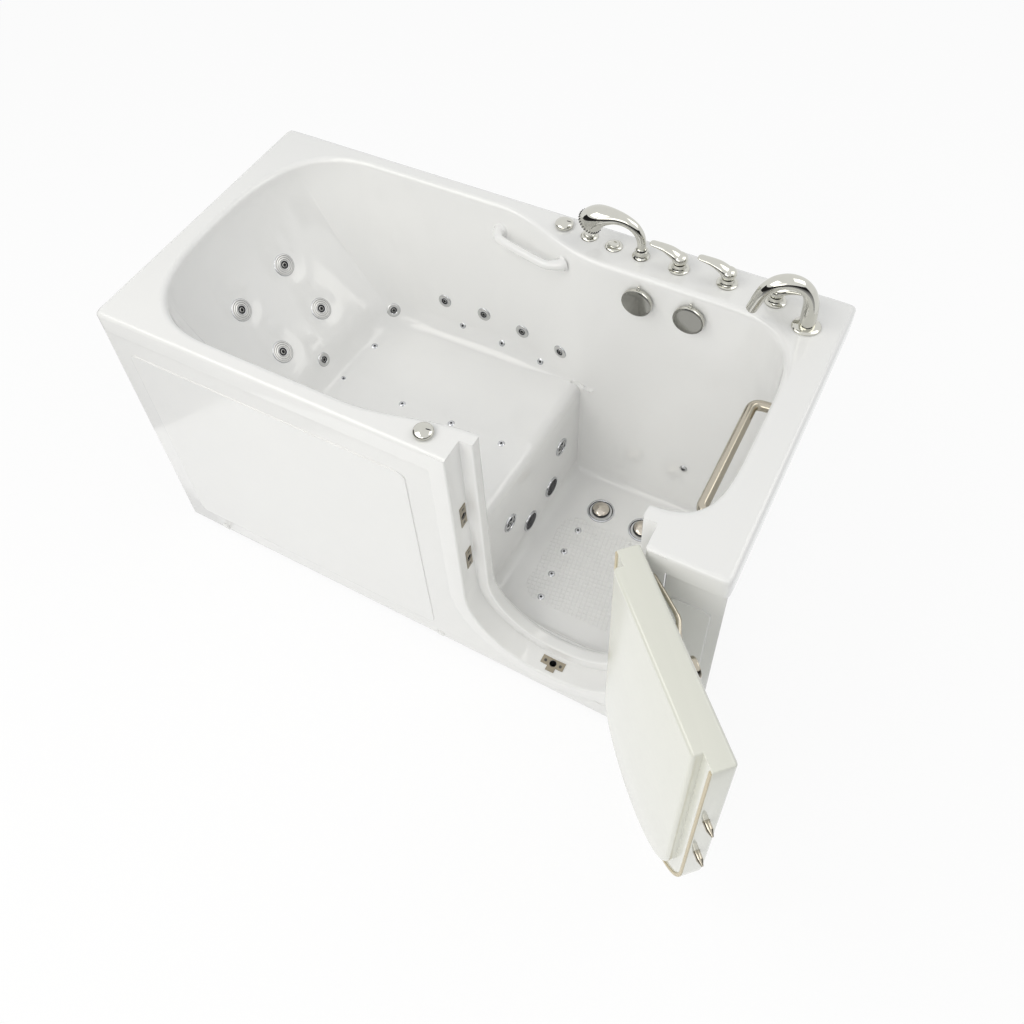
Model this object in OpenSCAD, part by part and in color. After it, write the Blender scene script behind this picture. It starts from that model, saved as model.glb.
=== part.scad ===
/* [Overall] */
// Length of the tub over the deck, along the wall
tub_l = 1524; // [1480:1:1600]
// Width of the tub over the deck, front to back
tub_w = 762; // [750:1:800]
// Height of the deck above the floor
deck_z = 845; // [830:1:880]
// Thickness of the moulded acrylic skin
wall = 8; // [6:0.5:9]
// Height of the lip that hangs from the deck edge
lip_h = 55; // [45:1:62]
// Radius of the deck's outer edge
deck_edge_r = 10; // [9.5:0.5:14]

/* [Basin] */
// Radius where the deck rolls down into the basin
rim_r = 14; // [12:1:18]
// Height of the seat at the foot of the backrest
seat_back_z = 405; // [385:1:415]
// Height of the seat at its front edge
seat_front_z = 420; // [410:1:440]
// Length of the foot well's end, from the seat's front face to the tub's right end
well_l = 586; // [577:1:597]
// How far the seat's front edge slants toward the backrest at the door side
seat_skew = 28; // [0:1:35]
// Radius of the seat's front edge
seat_edge_r = 30; // [20:1:36]
// Height of the foot well's floor
floor_z = 90; // [86:1:110]
// Radius of the fillet round the foot well's floor
floor_fillet = 28; // [20:1:36]
// Reach of the curve between the walls and the seat
seat_fillet = 42; // [32:1:50]

/* [Door opening] */
// Distance from the middle of the door opening to the tub's right end
door_from_end = 377; // [370:1:387]
// Inner radius of the ridge that the door seal presses on
ridge_r = 182; // [176:1:184]
// Radius of the rebate that the door sits in
rebate_r = 213; // [211:1:216]
// Radius at the outside of the door frame's front flange
frame_r = 255; // [250:1:260]
// Height of the middle of the round bottom of the opening
arc_z = 300; // [296:1:310]
// Depth from the front of the tub to the ridge
rebate_d = 59; // [57:1:62]
// Thickness of the ridge, front to back
ridge_t = 22; // [18:1:26]
// Radius of the frame's front corner
frame_corner_r = 6; // [4:0.5:6]

/* [Door] */
// How far the door is swung open in the rest pose
door_open = 135; // [100:1:135]
// Gap between the door's edge and the rebate
door_side_gap = 2.5; // [2:0.1:3]
// How far the door's face stands behind the front of the tub
door_set_back = 9; // [8:0.5:10]
// Depth of the outer part of the door, from its face to its shoulder
door_outer_d = 46; // [44:0.5:47]
// Depth of the plug that reaches into the opening
plug_d = 20; // [14:1:26]
// Gap round the plug
plug_gap = 5; // [3:0.5:7]
// Thickness of the door's moulded shells
door_wall = 5; // [4:0.5:6]
// Radius of the door's edges
door_edge_r = 8; // [6.5:0.5:10]
// Gap between the door's top and the deck
door_top_gap = 2; // [1:0.5:4]

/* [Hinge] */
// Radius of the hinge knuckles
knuckle_r = 5.6; // [5:0.1:5.8]
// Radius of the hinge pins
pin_r = 2.5; // [2:0.1:3]
// Height of each hinge
hinge_h = 90; // [70:1:110]
// Height of the lower hinge's foot
hinge_low_z = 330; // [320:1:360]
// Height of the upper hinge's foot
hinge_high_z = 690; // [640:1:700]

/* [Latch] */
// Height of the handle's axis
handle_axis_z = 740; // [730:1:760]
// Radius of the handle's hub
hub_r = 19; // [16:0.5:22]
// Height of the handle's hub
hub_h = 30; // [26:0.5:34]
// Angle of the handle's rod above the horizontal
handle_rise = 16; // [10:1:20]
// Radius of the latch bolts
bolt_r = 7; // [5:0.5:8]
// How far the bolts stand out of the door
bolt_out = 28; // [20:1:28]
// Height of the lower side bolt
bolt_low_z = 425; // [400:1:450]
// Height of the upper side bolt
bolt_high_z = 600; // [560:1:620]

/* [Fittings] */
// Radius of the large backrest jets
large_jet_r = 30; // [26:1:32]
// Radius of the back-wall jets
hydro_jet_r = 19; // [16:1:21]
// Radius of the ringed foot jets
foot_jet_r = 25; // [22:1:27]
// Radius of the suction covers
suction_r = 30; // [26:1:32]
// Radius of the air jets
air_jet_r = 9; // [8.5:0.5:12]
// Radius of the floor drains
drain_r = 37; // [34:1:39]
// Radius of the drain stoppers
stopper_r = 27; // [24:1:29]
// Radius of the overflow discs
overflow_r = 37; // [34:1:39]
// Radius of the push buttons
button_r = 13; // [11:1:14]
// Radius of the spout's tube
spout_r = 17; // [14:1:19]

/* [Hidden] */
$fn = 96;
end_x = tub_l / 2;
back_y = tub_w / 2;
front_y = -tub_w / 2;
door_x = end_x - door_from_end;
seat_face_x = end_x - well_l;
ridge_y = front_y + rebate_d;
inner_y = ridge_y + ridge_t;
foot_z = deck_z - rim_r;
well_foot_z = floor_z + floor_fillet;
front_wall_y = inner_y + rim_r;

bolt_zs = [bolt_low_z, bolt_high_z];
// running and seating clearances
seat_gap = 0.3;
pin_gap = 0.05;
bolt_gap = 0.3;
knuckle_gap = 0.4;
handle_gap = 0.3;
jet_sink = 2;
// door
door_r = rebate_r - door_side_gap;
plug_r = ridge_r - plug_gap;
door_face_y = front_y + door_set_back;
shoulder_y = door_face_y + door_outer_d;
plug_y = shoulder_y + plug_d;
door_top = deck_z - door_top_gap;
seal_r1 = door_r - 0.5;
seal_r0 = seal_r1 - 7;
seal_gap = 0.8;
hinge_x = door_x + rebate_r - 7.7;
hinge_y = door_face_y - 2.5;
leaf_t = 1.5;
frame_leaf_t = 1.8;
leaf_y1 = hinge_y + 33;
spindle_r = 6;
bolt_l = 60;
bolt_y = shoulder_y - 16;
bottom_bolt_y = shoulder_y - 20;
bottom_rod_top = handle_axis_z - 40 - (arc_z - door_r - bolt_out);
strike_t = 1.8;
strike_hole_r = 9;
screw_head_r = 4;
screw_r = 2;
// aprons
apron_y = front_y + 4;
apron_t = 3;
apron_inset = 3;
apron_gap = 2;
apron_z0 = 10;
apron_top = deck_z - lip_h - 2;
apron_back_y = front_y + wall + 1.7;
tongue_t = 1.4;
toe_z = 65;
emboss_d = 1.5;
field_x0 = -end_x + 57;
field_x1 = door_x - frame_r - 68;
field_top = apron_top - 61;
tower_x0 = door_x - 85;
tower_field_x0 = door_x + frame_r + 17;
tower_field_x1 = end_x - 25;
tower_field_top = apron_top - 76;
clip_xs = [-end_x + 125, door_x - 310];
// frame
tube_w = 30;
top_rail_w = 20;
rail_z = 30;
rail_x = end_x - 27;
rail_y = back_y - 25;
top_rail_z = deck_z - wall - 21;
seat_bearers = [-end_x + 472, seat_face_x - 176];
cross_xs = [-end_x + 122, seat_bearers[0], seat_bearers[1], end_x - 122];
well_bearers = [seat_face_x + 39, door_x + 175];
seat_post_y = back_y - 231;
front_post_x = door_x - rebate_r - 44;
end_post_x = end_x - 94;
foot_xs = [cross_xs[0], cross_xs[2], cross_xs[3]];
foot_y = rail_y - 66;
stem_r = 6;
pad_r = 25;
// fittings
knob_at = [[door_x - frame_r - 30, front_y + 43], [seat_face_x - 98, back_y - 41]];
knob_body_r = 9;
knob_l = 45;
button_at = [[door_x - 238, back_y - 48], [door_x - 172, back_y - 56]];
button_body_r = button_r + 3;
valve_at = [[door_x - 10, back_y - 61], [door_x + 103, back_y - 59], [end_x - 162, back_y - 66]];
valve_shank_r = 14;
valve_l = 60;
shower_at = [door_x - 103, back_y - 59];
shower_shank_r = 12;
shower_stem_r = 8;
shower_bend_r = 50;
shower_arc = 92;
shower_head = [-129, 0, 56];
shower_dir = [-0.61, 0, -0.79] / norm([-0.61, 0, -0.79]);
spout_at = [end_x - 79, back_y - 111];
spout_shank_r = 14;
spout_turn = 200;
spout_reach = 108;
spout_rise = 76;
spout_arc = 165;
spout_tip_l = 40;
large_shank_r = 20;
large_jet_l = 60;
hydro_shank_r = 13;
hydro_jet_l = 50;
air_shank_r = 6;
air_jet_l = 30;
floor_jet_l = 30;
suction_l = 60;
nut_h = 8;
drain_shank_r = 20;
drain_l = 58;
waste_r = 14;
waste_bore = 11;
waste_socket = 30;
waste_tail = 120;
overflow_flange_r = 26;
overflow_l = 45;
knob_bore = 5;
bar_x = end_x - 122;
bar_z = deck_z - 100;
bar_v = 4 + (foot_z - bar_z) / (foot_z - seat_front_z - 35);
bar_ends = [[6, 0.1885, bar_v], [5, 0.6721, bar_v]];
bar_bend_r = 30;
bar_flange_r = 27;
bar_r = 11;
handle_z = deck_z - 53;
handle_feet = [seat_face_x - 264, seat_face_x - 68];
handle_r = 9;
handle_bend_r = 14;

// An outline is [left, right, back-left y, back-right y, front-left y, front-right y, left power, back power, front power]
deck_o = [-end_x, end_x, back_y, back_y, front_y, front_y, 60, 60, 60];
rim_o = [-end_x + 46, end_x - 62, back_y - 31, back_y - 111, front_y + 31, inner_y, 2.7, 3.7, 5];
seat_o = [-end_x + 370, end_x - 62, back_y - 159, back_y - 176, front_y + 159, front_wall_y + floor_fillet, 3.2, 4, 5];
well_o = [-end_x + 370, end_x - 107, back_y - 159, back_y - 191, front_y + 159, front_wall_y + floor_fillet + 4, 3.2, 4, 5];
left_cx = -end_x + 312;
left_cx_seat = -end_x + 512;
right_cx = end_x - 312;

n_run = 8;
n_quad = 11;
n_well = 8;
n_corner = 10;

function mix(a, b, t) = a + (b - a) * t;
function smooth(t) = let (u = min(max(t, 0), 1)) u * u * (3 - 2 * u);
function unit(v) = v / max(norm(v), 1e-9);
function inset(o, e) = [o[0] + e, o[1] - e, o[2] - e, o[3] - e, o[4] + e, o[5] + e, o[6], o[7], o[8]];
// quarter of a superellipse round (cx, 0)
function quad(cx, a, b, p, t) =
    let (c = cos(t), s = sin(t), r = pow(pow(abs(c), p) + pow(abs(s), p), -1 / p))
    [cx + a * r * c, b * r * s];
// more points near the middle of a quarter, where a square corner turns
function warp(f) = let (g = 2 * f - 1) 45 + 45 * sign(g) * pow(abs(g), 1.6);
// the long sides run from the wide left part to the narrower right part
function run_y(o, k, x) = mix(o[k + 1], o[k], smooth((seat_face_x + 24 - x) / 300));

// Roles round the outline: 0 back run over the seat, 1 back-left quarter, 2 front-left quarter,
// 3 front run over the seat, 4 front of the foot well, 5 and 6 right corners, 7 back of the foot well
function is_seat(role) = role < 4;
function plan(o, cx, role, f, x0 = seat_face_x) =
    role == 0 ? let (x = mix(seat_face_x, cx, f)) [x, run_y(o, 2, x)] :
    role == 1 ? quad(cx, cx - o[0], o[2], o[6], 90 + warp(f)) :
    role == 2 ? quad(cx, cx - o[0], -o[4], o[6], 180 + warp(f)) :
    role == 3 ? let (x = mix(cx, seat_face_x, f)) [x, run_y(o, 4, x)] :
    role == 4 ? let (x = mix(x0, right_cx, f)) [x, run_y(o, 4, x)] :
    role == 5 ? quad(right_cx, o[1] - right_cx, -o[5], o[8], 270 + warp(f)) :
    role == 6 ? quad(right_cx, o[1] - right_cx, o[3], o[7], warp(f)) :
                let (x = mix(right_cx, x0, f)) [x, run_y(o, 2, x)];
// how much a point of the outline belongs to the backrest
function lean(role, f) = role == 1 ? sin(90 * f) : role == 2 ? cos(90 * f) : 0;
// how much a point of the seat's outline has left the foot well's wall behind
function parted(role, f) = role == 0 ? smooth(2.2 * f) : role == 3 ? smooth(2.2 * (1 - f)) : 1;
// place along the seat's side of the outline, from the back wall round to the front wall
function seat_frac(role, f) =
    (role == 0 ? f * n_run : role == 1 ? n_run + f * n_quad :
     role == 2 ? n_run + n_quad + f * n_quad : n_run + 2 * n_quad + f * n_run) / (2 * n_run + 2 * n_quad);

// the foot well's wall leans in a little from the rim's foot down to the floor's fillet
function well_o_at(z) =
    let (t = (foot_z - z) / (foot_z - well_foot_z)) mix(inset(rim_o, rim_r), inset(well_o, -floor_fillet), t);
function well_z(v) = lookup(v, [[4, foot_z], [5, seat_front_z + 35], [6, seat_front_z + 17], [7, seat_front_z],
    [8, seat_front_z - seat_edge_r], [9, well_foot_z]]);
function seat_z(x) = mix(seat_back_z, seat_front_z, min(max((x - seat_o[0]) / (seat_face_x - seat_edge_r - seat_o[0]), 0), 1));
function seat_reach(role, f) = seat_fillet + 28 * lean(role, f);
// a point over the seat: its own outline, drawn over to the foot well's wall near the seat's front
function over_seat(o, cx, role, f, z) =
    let (p = plan(o, cx, role, f), k = role == 0 ? 2 : 4)
    role == 0 || role == 3 ? [p[0], mix(run_y(well_o_at(z), k, p[0]), p[1], parted(role, f)), z] : [p[0], p[1], z];
function seat_wall_pt(role, f, d) =
    let (r = seat_reach(role, f), h = pow(d, 1 + 0.55 * lean(role, f)), cx = mix(left_cx, left_cx_seat, h),
         o = mix(inset(rim_o, rim_r), inset(seat_o, -r), h), x = plan(seat_o, left_cx_seat, role, f)[0])
    over_seat(o, cx, role, f, mix(foot_z, seat_z(x) + r, d));
function seat_curve_pt(role, f, t) =
    let (k = seat_reach(role, f) * (1 - sin(90 * t)), x = plan(seat_o, left_cx_seat, role, f)[0])
    over_seat(inset(seat_o, -k), left_cx_seat, role, f, seat_z(x) + k * k / seat_reach(role, f));
// X of the seat's front line at each level, and of the foot well's runs that start there
function face_x(v) = v <= 7 ? lookup(v, [[5, seat_face_x], [7, seat_face_x - seat_edge_r]]) :
    v <= 8 ? seat_face_x - seat_edge_r * (1 - sin(90 * (v - 7))) :
    v <= 9 ? seat_face_x : seat_face_x + floor_fillet * (1 - cos(90 * (v - 9)));
function skew_at(v) = seat_skew * lookup(v, [[5, 0], [7, 1]]);
function face_z(v) = v <= 8 ? seat_front_z - seat_edge_r * (1 - cos(90 * (v - 7))) :
    v <= 9 ? mix(seat_front_z - seat_edge_r, well_foot_z, v - 8) : well_foot_z - floor_fillet * sin(90 * (v - 9));
function floor_o(v) = inset(well_o, -floor_fillet * cos(90 * (v - 9)));
// across the seat's front, from the back wall to the front wall
function front_line(role, f, v) =
    let (g = seat_frac(role, f), x = face_x(v), o = v <= 9 ? well_o_at(face_z(v)) : floor_o(v))
    [x - skew_at(v) * g, mix(run_y(o, 2, x), run_y(o, 4, x - skew_at(v)), g), face_z(v)];
function well_pt(role, f, v) =
    let (x0 = face_x(v) - (role == 4 ? skew_at(v) : 0))
    v <= 9 ? concat(plan(well_o_at(well_z(v)), 0, role, f, x0), [well_z(v)])
           : concat(plan(floor_o(v), 0, role, f, x0), [face_z(v)]);

// The whole visible surface: v runs from the lip's foot over the deck and down to the floor
function shell_pt(role, f, v) =
    v <= 1 ? concat(plan(deck_o, left_cx, role, f), [mix(deck_z - lip_h, deck_z - deck_edge_r, v)]) :
    v <= 2 ? let (a = 90 * (v - 1))
        concat(plan(inset(deck_o, deck_edge_r * (1 - cos(a))), left_cx, role, f), [deck_z - deck_edge_r * (1 - sin(a))]) :
    v <= 3 ? concat(mix(plan(inset(deck_o, deck_edge_r), left_cx, role, f), plan(rim_o, left_cx, role, f), v - 2), [deck_z]) :
    v <= 4 ? let (a = 90 * (v - 3))
        concat(plan(inset(rim_o, rim_r * sin(a)), left_cx, role, f), [deck_z - rim_r * (1 - cos(a))]) :
    !is_seat(role) ? well_pt(role, f, v) :
    v <= 5 ? seat_wall_pt(role, f, v - 4) :
    v <= 6 ? seat_curve_pt(role, f, v - 5) :
    v <= 7 ? mix(seat_curve_pt(role, f, 1), front_line(role, f, 7), v - 6) :
             front_line(role, f, v);

function steps(role, n, shift = 0) = [for (i = [0:n - 1]) [role, (i + shift) / n]];
roles = concat(steps(0, n_run, 0.5), steps(1, n_quad), steps(2, n_quad), steps(3, n_run, 0.5),
    steps(4, n_well, 0.5), steps(5, n_corner), steps(6, n_corner), steps(7, n_well, 0.5));
levels = [0, 1, 1.5, 2, 3, 3.4, 3.75, 4, 4.33, 4.67, 5, 5.35, 5.7, 6, 6.5, 7, 7.35, 7.7, 8, 8.5, 9, 9.4, 9.75, 10];
n_round = len(roles);
n_level = len(levels);
grid = [for (v = levels) [for (q = roles) shell_pt(q[0], q[1], v)]];
function grid_normal(j, i) =
    let (a = grid[j][(i + 1) % n_round] - grid[j][(i + n_round - 1) % n_round],
         b = grid[min(j + 1, n_level - 1)][i] - grid[max(j - 1, 0)][i])
    j == n_level - 1 ? [0, 0, 1] : j == 0 ? unit([cross(a, b)[0], cross(a, b)[1], 0]) : unit(cross(a, b));

module moulded_skin() {
    seen = [for (j = [0:n_level - 1], i = [0:n_round - 1]) grid[j][i]];
    hidden = [for (j = [0:n_level - 1], i = [0:n_round - 1]) grid[j][i] - wall * grid_normal(j, i)];
    n = n_round * n_level;
    function id(j, i) = j * n_round + i % n_round;
    side = [for (j = [0:n_level - 2], i = [0:n_round - 1]) each
        [[id(j, i), id(j + 1, i + 1), id(j, i + 1)], [id(j, i), id(j + 1, i), id(j + 1, i + 1)]]];
    under = [for (t = side) [t[0] + n, t[2] + n, t[1] + n]];
    edge = [for (i = [0:n_round - 1]) each
        [[id(0, i), id(0, i + 1), id(0, i) + n], [id(0, i + 1), id(0, i + 1) + n, id(0, i) + n]]];
    cap = [for (i = [0:n_round - 1]) [id(n_level - 1, i), 2 * n, id(n_level - 1, i + 1)]];
    cap_under = [for (i = [0:n_round - 1]) [id(n_level - 1, i) + n, id(n_level - 1, i + 1) + n, 2 * n + 1]];
    middle = [door_x, 0, floor_z];
    polyhedron(concat(seen, hidden, [middle, middle - [0, 0, wall]]),
        concat(side, under, edge, cap, cap_under), convexity = 12);
}

// A closed profile [radius, y] swept round the opening's U: half a turn below, straight legs above
module sweep_u(profile, top) translate([door_x, 0, arc_z]) {
    rotate([-90, 0, 0]) rotate_extrude(angle = 180) polygon(profile);
    for (side = [0, 1]) mirror([side, 0, 0]) linear_extrude(top - arc_z) polygon(profile);
}
function arc_pts(c, r, a0, a1, n = 6) = [for (i = [0:n]) c + r * [cos(mix(a0, a1, i / n)), sin(mix(a0, a1, i / n))]];
frame_blank = [[0, front_y + 0.4], [frame_r, front_y + 0.4], [frame_r, front_y + wall], [rebate_r + wall, front_y + wall],
    [rebate_r + wall, ridge_y + wall], [ridge_r + rim_r + wall, ridge_y + wall], [ridge_r + rim_r + wall, front_wall_y - wall / 2], [0, front_wall_y - wall / 2]];
door_void = concat([[0, front_y - 20], [rebate_r + frame_corner_r, front_y - 20]],
    arc_pts([rebate_r + frame_corner_r, front_y + frame_corner_r], frame_corner_r, -90, -180),
    [[rebate_r, ridge_y], [ridge_r, ridge_y]],
    arc_pts([ridge_r + rim_r, inner_y], rim_r, 180, 90),
    [[ridge_r + rim_r, front_wall_y + 60], [0, front_wall_y + 60]]);

// ---- places on the moulded surface ----
// a place over the seat on the back wall, from its X and Z
function back_q(x, z) = let (d = (foot_z - z) / (foot_z - seat_z(x) - seat_fillet), cx = mix(left_cx, left_cx_seat, d))
    [0, (seat_face_x - x) / (seat_face_x - cx), 4 + d];
function shell_normal(q) = let (e = 0.01)
    unit(cross(shell_pt(q[0], q[1] + e, q[2]) - shell_pt(q[0], q[1] - e, q[2]),
               shell_pt(q[0], q[1], q[2] + e) - shell_pt(q[0], q[1], q[2] - e)));
function tilt(n) = [0, acos(n[2]), atan2(n[1], n[0])];
// puts its children on the surface, with Z pointing out of the skin into the basin
module on(q) translate(shell_pt(q[0], q[1], q[2])) rotate(tilt(shell_normal(q))) children();
module ring(r_out, r_in, z0, z1) translate([0, 0, z0]) difference() {
    cylinder(r = r_out, h = z1 - z0);
    translate([0, 0, -1]) cylinder(r = r_in, h = z1 - z0 + 2);
}
module bar(a, b) translate(a) cube(b - a);
// a round rod through points, its inner corners filled by balls a little larger than the rod
module ball_rod(pts, r) {
    for (i = [0:len(pts) - 2]) let (d = pts[i + 1] - pts[i])
        translate(pts[i]) rotate(tilt(unit(d))) cylinder(r = r, h = norm(d));
    for (i = [1:1:len(pts) - 2]) translate(pts[i]) rotate(tilt(unit(pts[i + 1] - pts[i - 1]))) rotate(40) sphere(r + 0.3);
}

// a round rod through points, its inner corners bent to a radius
module bent_rod(pts, r, bend_r, $fn = 48) {
    n = len(pts);
    way = [for (i = [0:n - 2]) unit(pts[i + 1] - pts[i])];
    turn = [for (i = [0:n - 1]) i == 0 || i == n - 1 ? 0 : acos(way[i - 1] * way[i])];
    reach = [for (a = turn) bend_r * tan(a / 2)];
    for (i = [0:n - 2]) translate(pts[i] + reach[i] * way[i]) rotate(tilt(way[i]))
        cylinder(r = r, h = norm(pts[i + 1] - pts[i]) - reach[i] - reach[i + 1]);
    for (i = [1:n - 2]) let (start = pts[i] - reach[i] * way[i - 1], axis = unit(cross(way[i - 1], way[i])),
            out = -cross(axis, way[i - 1]), t = tilt(axis),
            spin = atan2(out * [-sin(t[2]), cos(t[2]), 0], out * [cos(t[1]) * cos(t[2]), cos(t[1]) * sin(t[2]), -sin(t[1])])) {
        translate(start - bend_r * out) rotate(t) rotate(spin) rotate_extrude(angle = turn[i]) translate([bend_r, 0]) circle(r);
        translate(start) rotate(tilt(way[i - 1])) rotate(40) sphere(r + 0.3);
        translate(pts[i] + reach[i] * way[i]) rotate(tilt(way[i])) rotate(40) sphere(r + 0.3);
    }
}

// ---- tub ----
deck_holes = concat([for (p = knob_at) [p, knob_body_r]], [for (p = button_at) [p, button_body_r]],
    [for (p = valve_at) [p, valve_shank_r]], [[shower_at, shower_shank_r], [spout_at, spout_shank_r]]);
// [place, flange radius, shank radius] of everything let into the skin
large_jets = [[1, 0.88, 4.51], [2, 0.12, 4.51], [1, 0.88, 4.835], [2, 0.12, 4.835]];
hydro_jets = [[0, 0.93, 4.85], [0, 0.665, 4.85], [0, 0.41, 4.87], [0, 0.15, 4.89], [1, 0.4, 5.1], [2, 0.02, 5.07]];
small_jets = [[6, 0.95, 8.5]];
back_air = [[0, 0.86, 5.02], [0, 0.57, 5.1], [0, 0.29, 5.19]];
seat_air = [[2, 0.02, 5.6], [2, 0.02, 6.335], [2, 0.01, 6.62], [1, 0.99, 6.9], [1, 0.76, 5.68]];
foot_jets = [[0, 0.9, 8.42], [2, 0.69, 8.48]];
suctions = [[1, 0.276, 8.844], [2, 0.043, 8.908]];
overflows = [[7, 0.509, 4.14], [7, 0.052, 4.14]];
floor_air = [for (p = [[98, 405], [93, 330], [94, 255], [100, 183]]) [seat_face_x + p[0], front_y + p[1]]];
drains = [[door_x - 83, back_y - 273], [door_x + 40, back_y - 278]];
let_in = concat([for (q = large_jets) [q, large_jet_r, large_shank_r]], [for (q = hydro_jets) [q, hydro_jet_r, hydro_shank_r]],
    [for (q = concat(small_jets, back_air, seat_air)) [q, air_jet_r, air_shank_r]],
    [for (q = foot_jets) [q, foot_jet_r, hydro_shank_r]], [for (q = suctions) [q, suction_r, hydro_shank_r]],
    [for (q = overflows) [q, overflow_flange_r, hydro_shank_r]]);

module tub_shell() color("white") difference() {
    union() {
        moulded_skin();
        sweep_u(frame_blank, deck_z - wall / 2);
    }
    sweep_u(door_void, deck_z + 20);
    for (h = deck_holes) translate([h[0][0], h[0][1], deck_z - 2 * wall]) cylinder(r = h[1] + seat_gap, h = 3 * wall);
    for (w = let_in) on(w[0]) {
        translate([0, 0, -jet_sink]) cylinder(r = w[1] + seat_gap, h = 3 * wall);
        translate([0, 0, -3 * wall]) cylinder(r = w[2] + seat_gap, h = 4 * wall);
    }
    for (p = floor_air) translate([p[0], p[1], floor_z - 2 * wall]) cylinder(r = air_shank_r + seat_gap, h = 3 * wall);
    for (p = drains) translate([p[0], p[1], floor_z - 2 * wall]) {
        cylinder(r = drain_shank_r + seat_gap, h = 3 * wall);
        translate([0, 0, 2 * wall - jet_sink]) cylinder(r = drain_r + seat_gap, h = wall);
    }
    for (z = bolt_zs) translate([door_x - rebate_r - 2 * wall, bolt_y, z]) rotate([0, 90, 0]) cylinder(r = strike_hole_r, h = 3 * wall);
    translate([door_x, bottom_bolt_y, arc_z - rebate_r - 2 * wall]) cylinder(r = strike_hole_r, h = 3 * wall);
    strike_screws(seat_gap);
    for (q = bar_ends) on(q) translate([0, 0, -jet_sink]) cylinder(r = bar_flange_r + seat_gap, h = 3 * wall);
    for (q = handle_qs) on(q) translate([0, 0, -jet_sink]) cylinder(r = handle_r + 5 + seat_gap, h = 3 * wall);
}
// ---- aprons ----
// outline of the cut round the door frame's flange
module round_frame(gap) {
    translate([door_x, arc_z]) circle(frame_r + gap);
    translate([door_x - frame_r - gap, arc_z]) square([2 * (frame_r + gap), deck_z]);
}
module rounded_rect(x0, z0, x1, z1, r) union() {
    translate([x0 + r, z0]) square([x1 - x0 - 2 * r, z1 - z0]);
    translate([x0, z0 + r]) square([x1 - x0, z1 - z0 - 2 * r]);
    for (x = [x0 + r, x1 - r], z = [z0 + r, z1 - r]) translate([x, z]) circle(r);
}
// an upright sheet from y to y + t, drawn in X and Z
module sheet(y, t) translate([0, y + t, 0]) rotate([90, 0, 0]) linear_extrude(t) children();
// return along a panel's top, with a tongue that stands up behind the lip
module apron_hook(x0, x1) {
    bar([x0, apron_y + apron_t, apron_top - apron_t], [x1, apron_back_y, apron_top]);
    bar([x0, apron_back_y - tongue_t, apron_top], [x1, apron_back_y, apron_top + 12]);
}
module front_apron() color("white") union() {
    sheet(apron_y, apron_t) difference() {
        translate([-end_x + apron_inset, apron_z0]) square([tub_l - 2 * apron_inset, apron_top - apron_z0]);
        round_frame(apron_gap);
        translate([tower_x0 - apron_gap, toe_z + apron_gap]) square([tub_l, deck_z]);
    }
    sheet(apron_y - emboss_d, emboss_d) rounded_rect(field_x0, toe_z + 3, field_x1, field_top, 20);
    apron_hook(-end_x + 40, door_x - frame_r - 5);
}
module right_front_panel() color("white") union() {
    sheet(apron_y, apron_t) difference() {
        translate([tower_x0, toe_z + 2 * apron_gap]) square([end_x - apron_inset - tower_x0, apron_top - toe_z - 2 * apron_gap]);
        round_frame(apron_gap);
    }
    sheet(apron_y - emboss_d, emboss_d) rounded_rect(tower_field_x0, toe_z + 60, tower_field_x1, tower_field_top, 12);
    apron_hook(door_x + frame_r + 15, end_x - 40);
}
module apron_clips() color("white") for (x = clip_xs) {
    bar([x - 9, apron_y - 3, apron_z0 + 4], [x + 9, apron_y, apron_z0 + 20]);
}
// ---- support frame and feet ----
module support_frame() color("silver") {
    t = tube_w;
    yo = rail_y + t / 2;
    for (y = [-rail_y, rail_y]) bar([-rail_x - t / 2, y - t / 2, rail_z], [end_post_x + t / 2, y + t / 2, rail_z + t]);
    for (x = cross_xs) difference() {
        bar([x - t / 2, -rail_y + t / 2, rail_z], [x + t / 2, rail_y - t / 2, rail_z + t]);
        for (y = [-foot_y, 0, foot_y]) translate([x, y, rail_z - 1]) cylinder(r = stem_r + seat_gap, h = t + 2);
    }
    for (x = well_bearers) bar([x - t / 2, -rail_y - t / 2, rail_z + t], [x + t / 2, rail_y + t / 2, floor_z - wall]);
    for (x = [-rail_x, end_post_x], y = [-rail_y, rail_y]) bar([x - t / 2, y - t / 2, rail_z + t], [x + t / 2, y + t / 2, top_rail_z]);
    for (p = [[front_post_x, -rail_y], [foot_xs[1], rail_y]])
        bar([p[0] - t / 2, p[1] - t / 2, rail_z + t], [p[0] + t / 2, p[1] + t / 2, top_rail_z]);
    s = top_rail_w;
    bar([-rail_x - t / 2, rail_y + t / 2 - s, top_rail_z], [rail_x + t / 2, rail_y + t / 2, deck_z - wall - 1]);
    bar([-rail_x - t / 2, -rail_y - t / 2, top_rail_z], [front_post_x + t / 2, -rail_y - t / 2 + s, deck_z - wall - 1]);
    bar([end_post_x - t / 2, -rail_y - t / 2, top_rail_z], [rail_x + t / 2, -rail_y - t / 2 + s, deck_z - wall - 1]);
    for (x = [-rail_x - t / 2, rail_x + t / 2 - s]) bar([x, -rail_y - t / 2 + s, top_rail_z], [x + s, rail_y + t / 2 - s, deck_z - wall - 1]);
    for (x = seat_bearers) let (top = seat_z(x - t / 2) - wall - 1) {
        bar([x - t / 2, -seat_post_y - t / 2, top - t], [x + t / 2, seat_post_y + t / 2, top]);
        for (y = [-seat_post_y, seat_post_y]) bar([x - t / 2, y - t / 2, rail_z + t], [x + t / 2, y + t / 2, top - t]);
    }
}
feet_at = [for (x = foot_xs, y = [-foot_y, 0, foot_y]) if (x == foot_xs[1] || y != 0) [x, y]];
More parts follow.
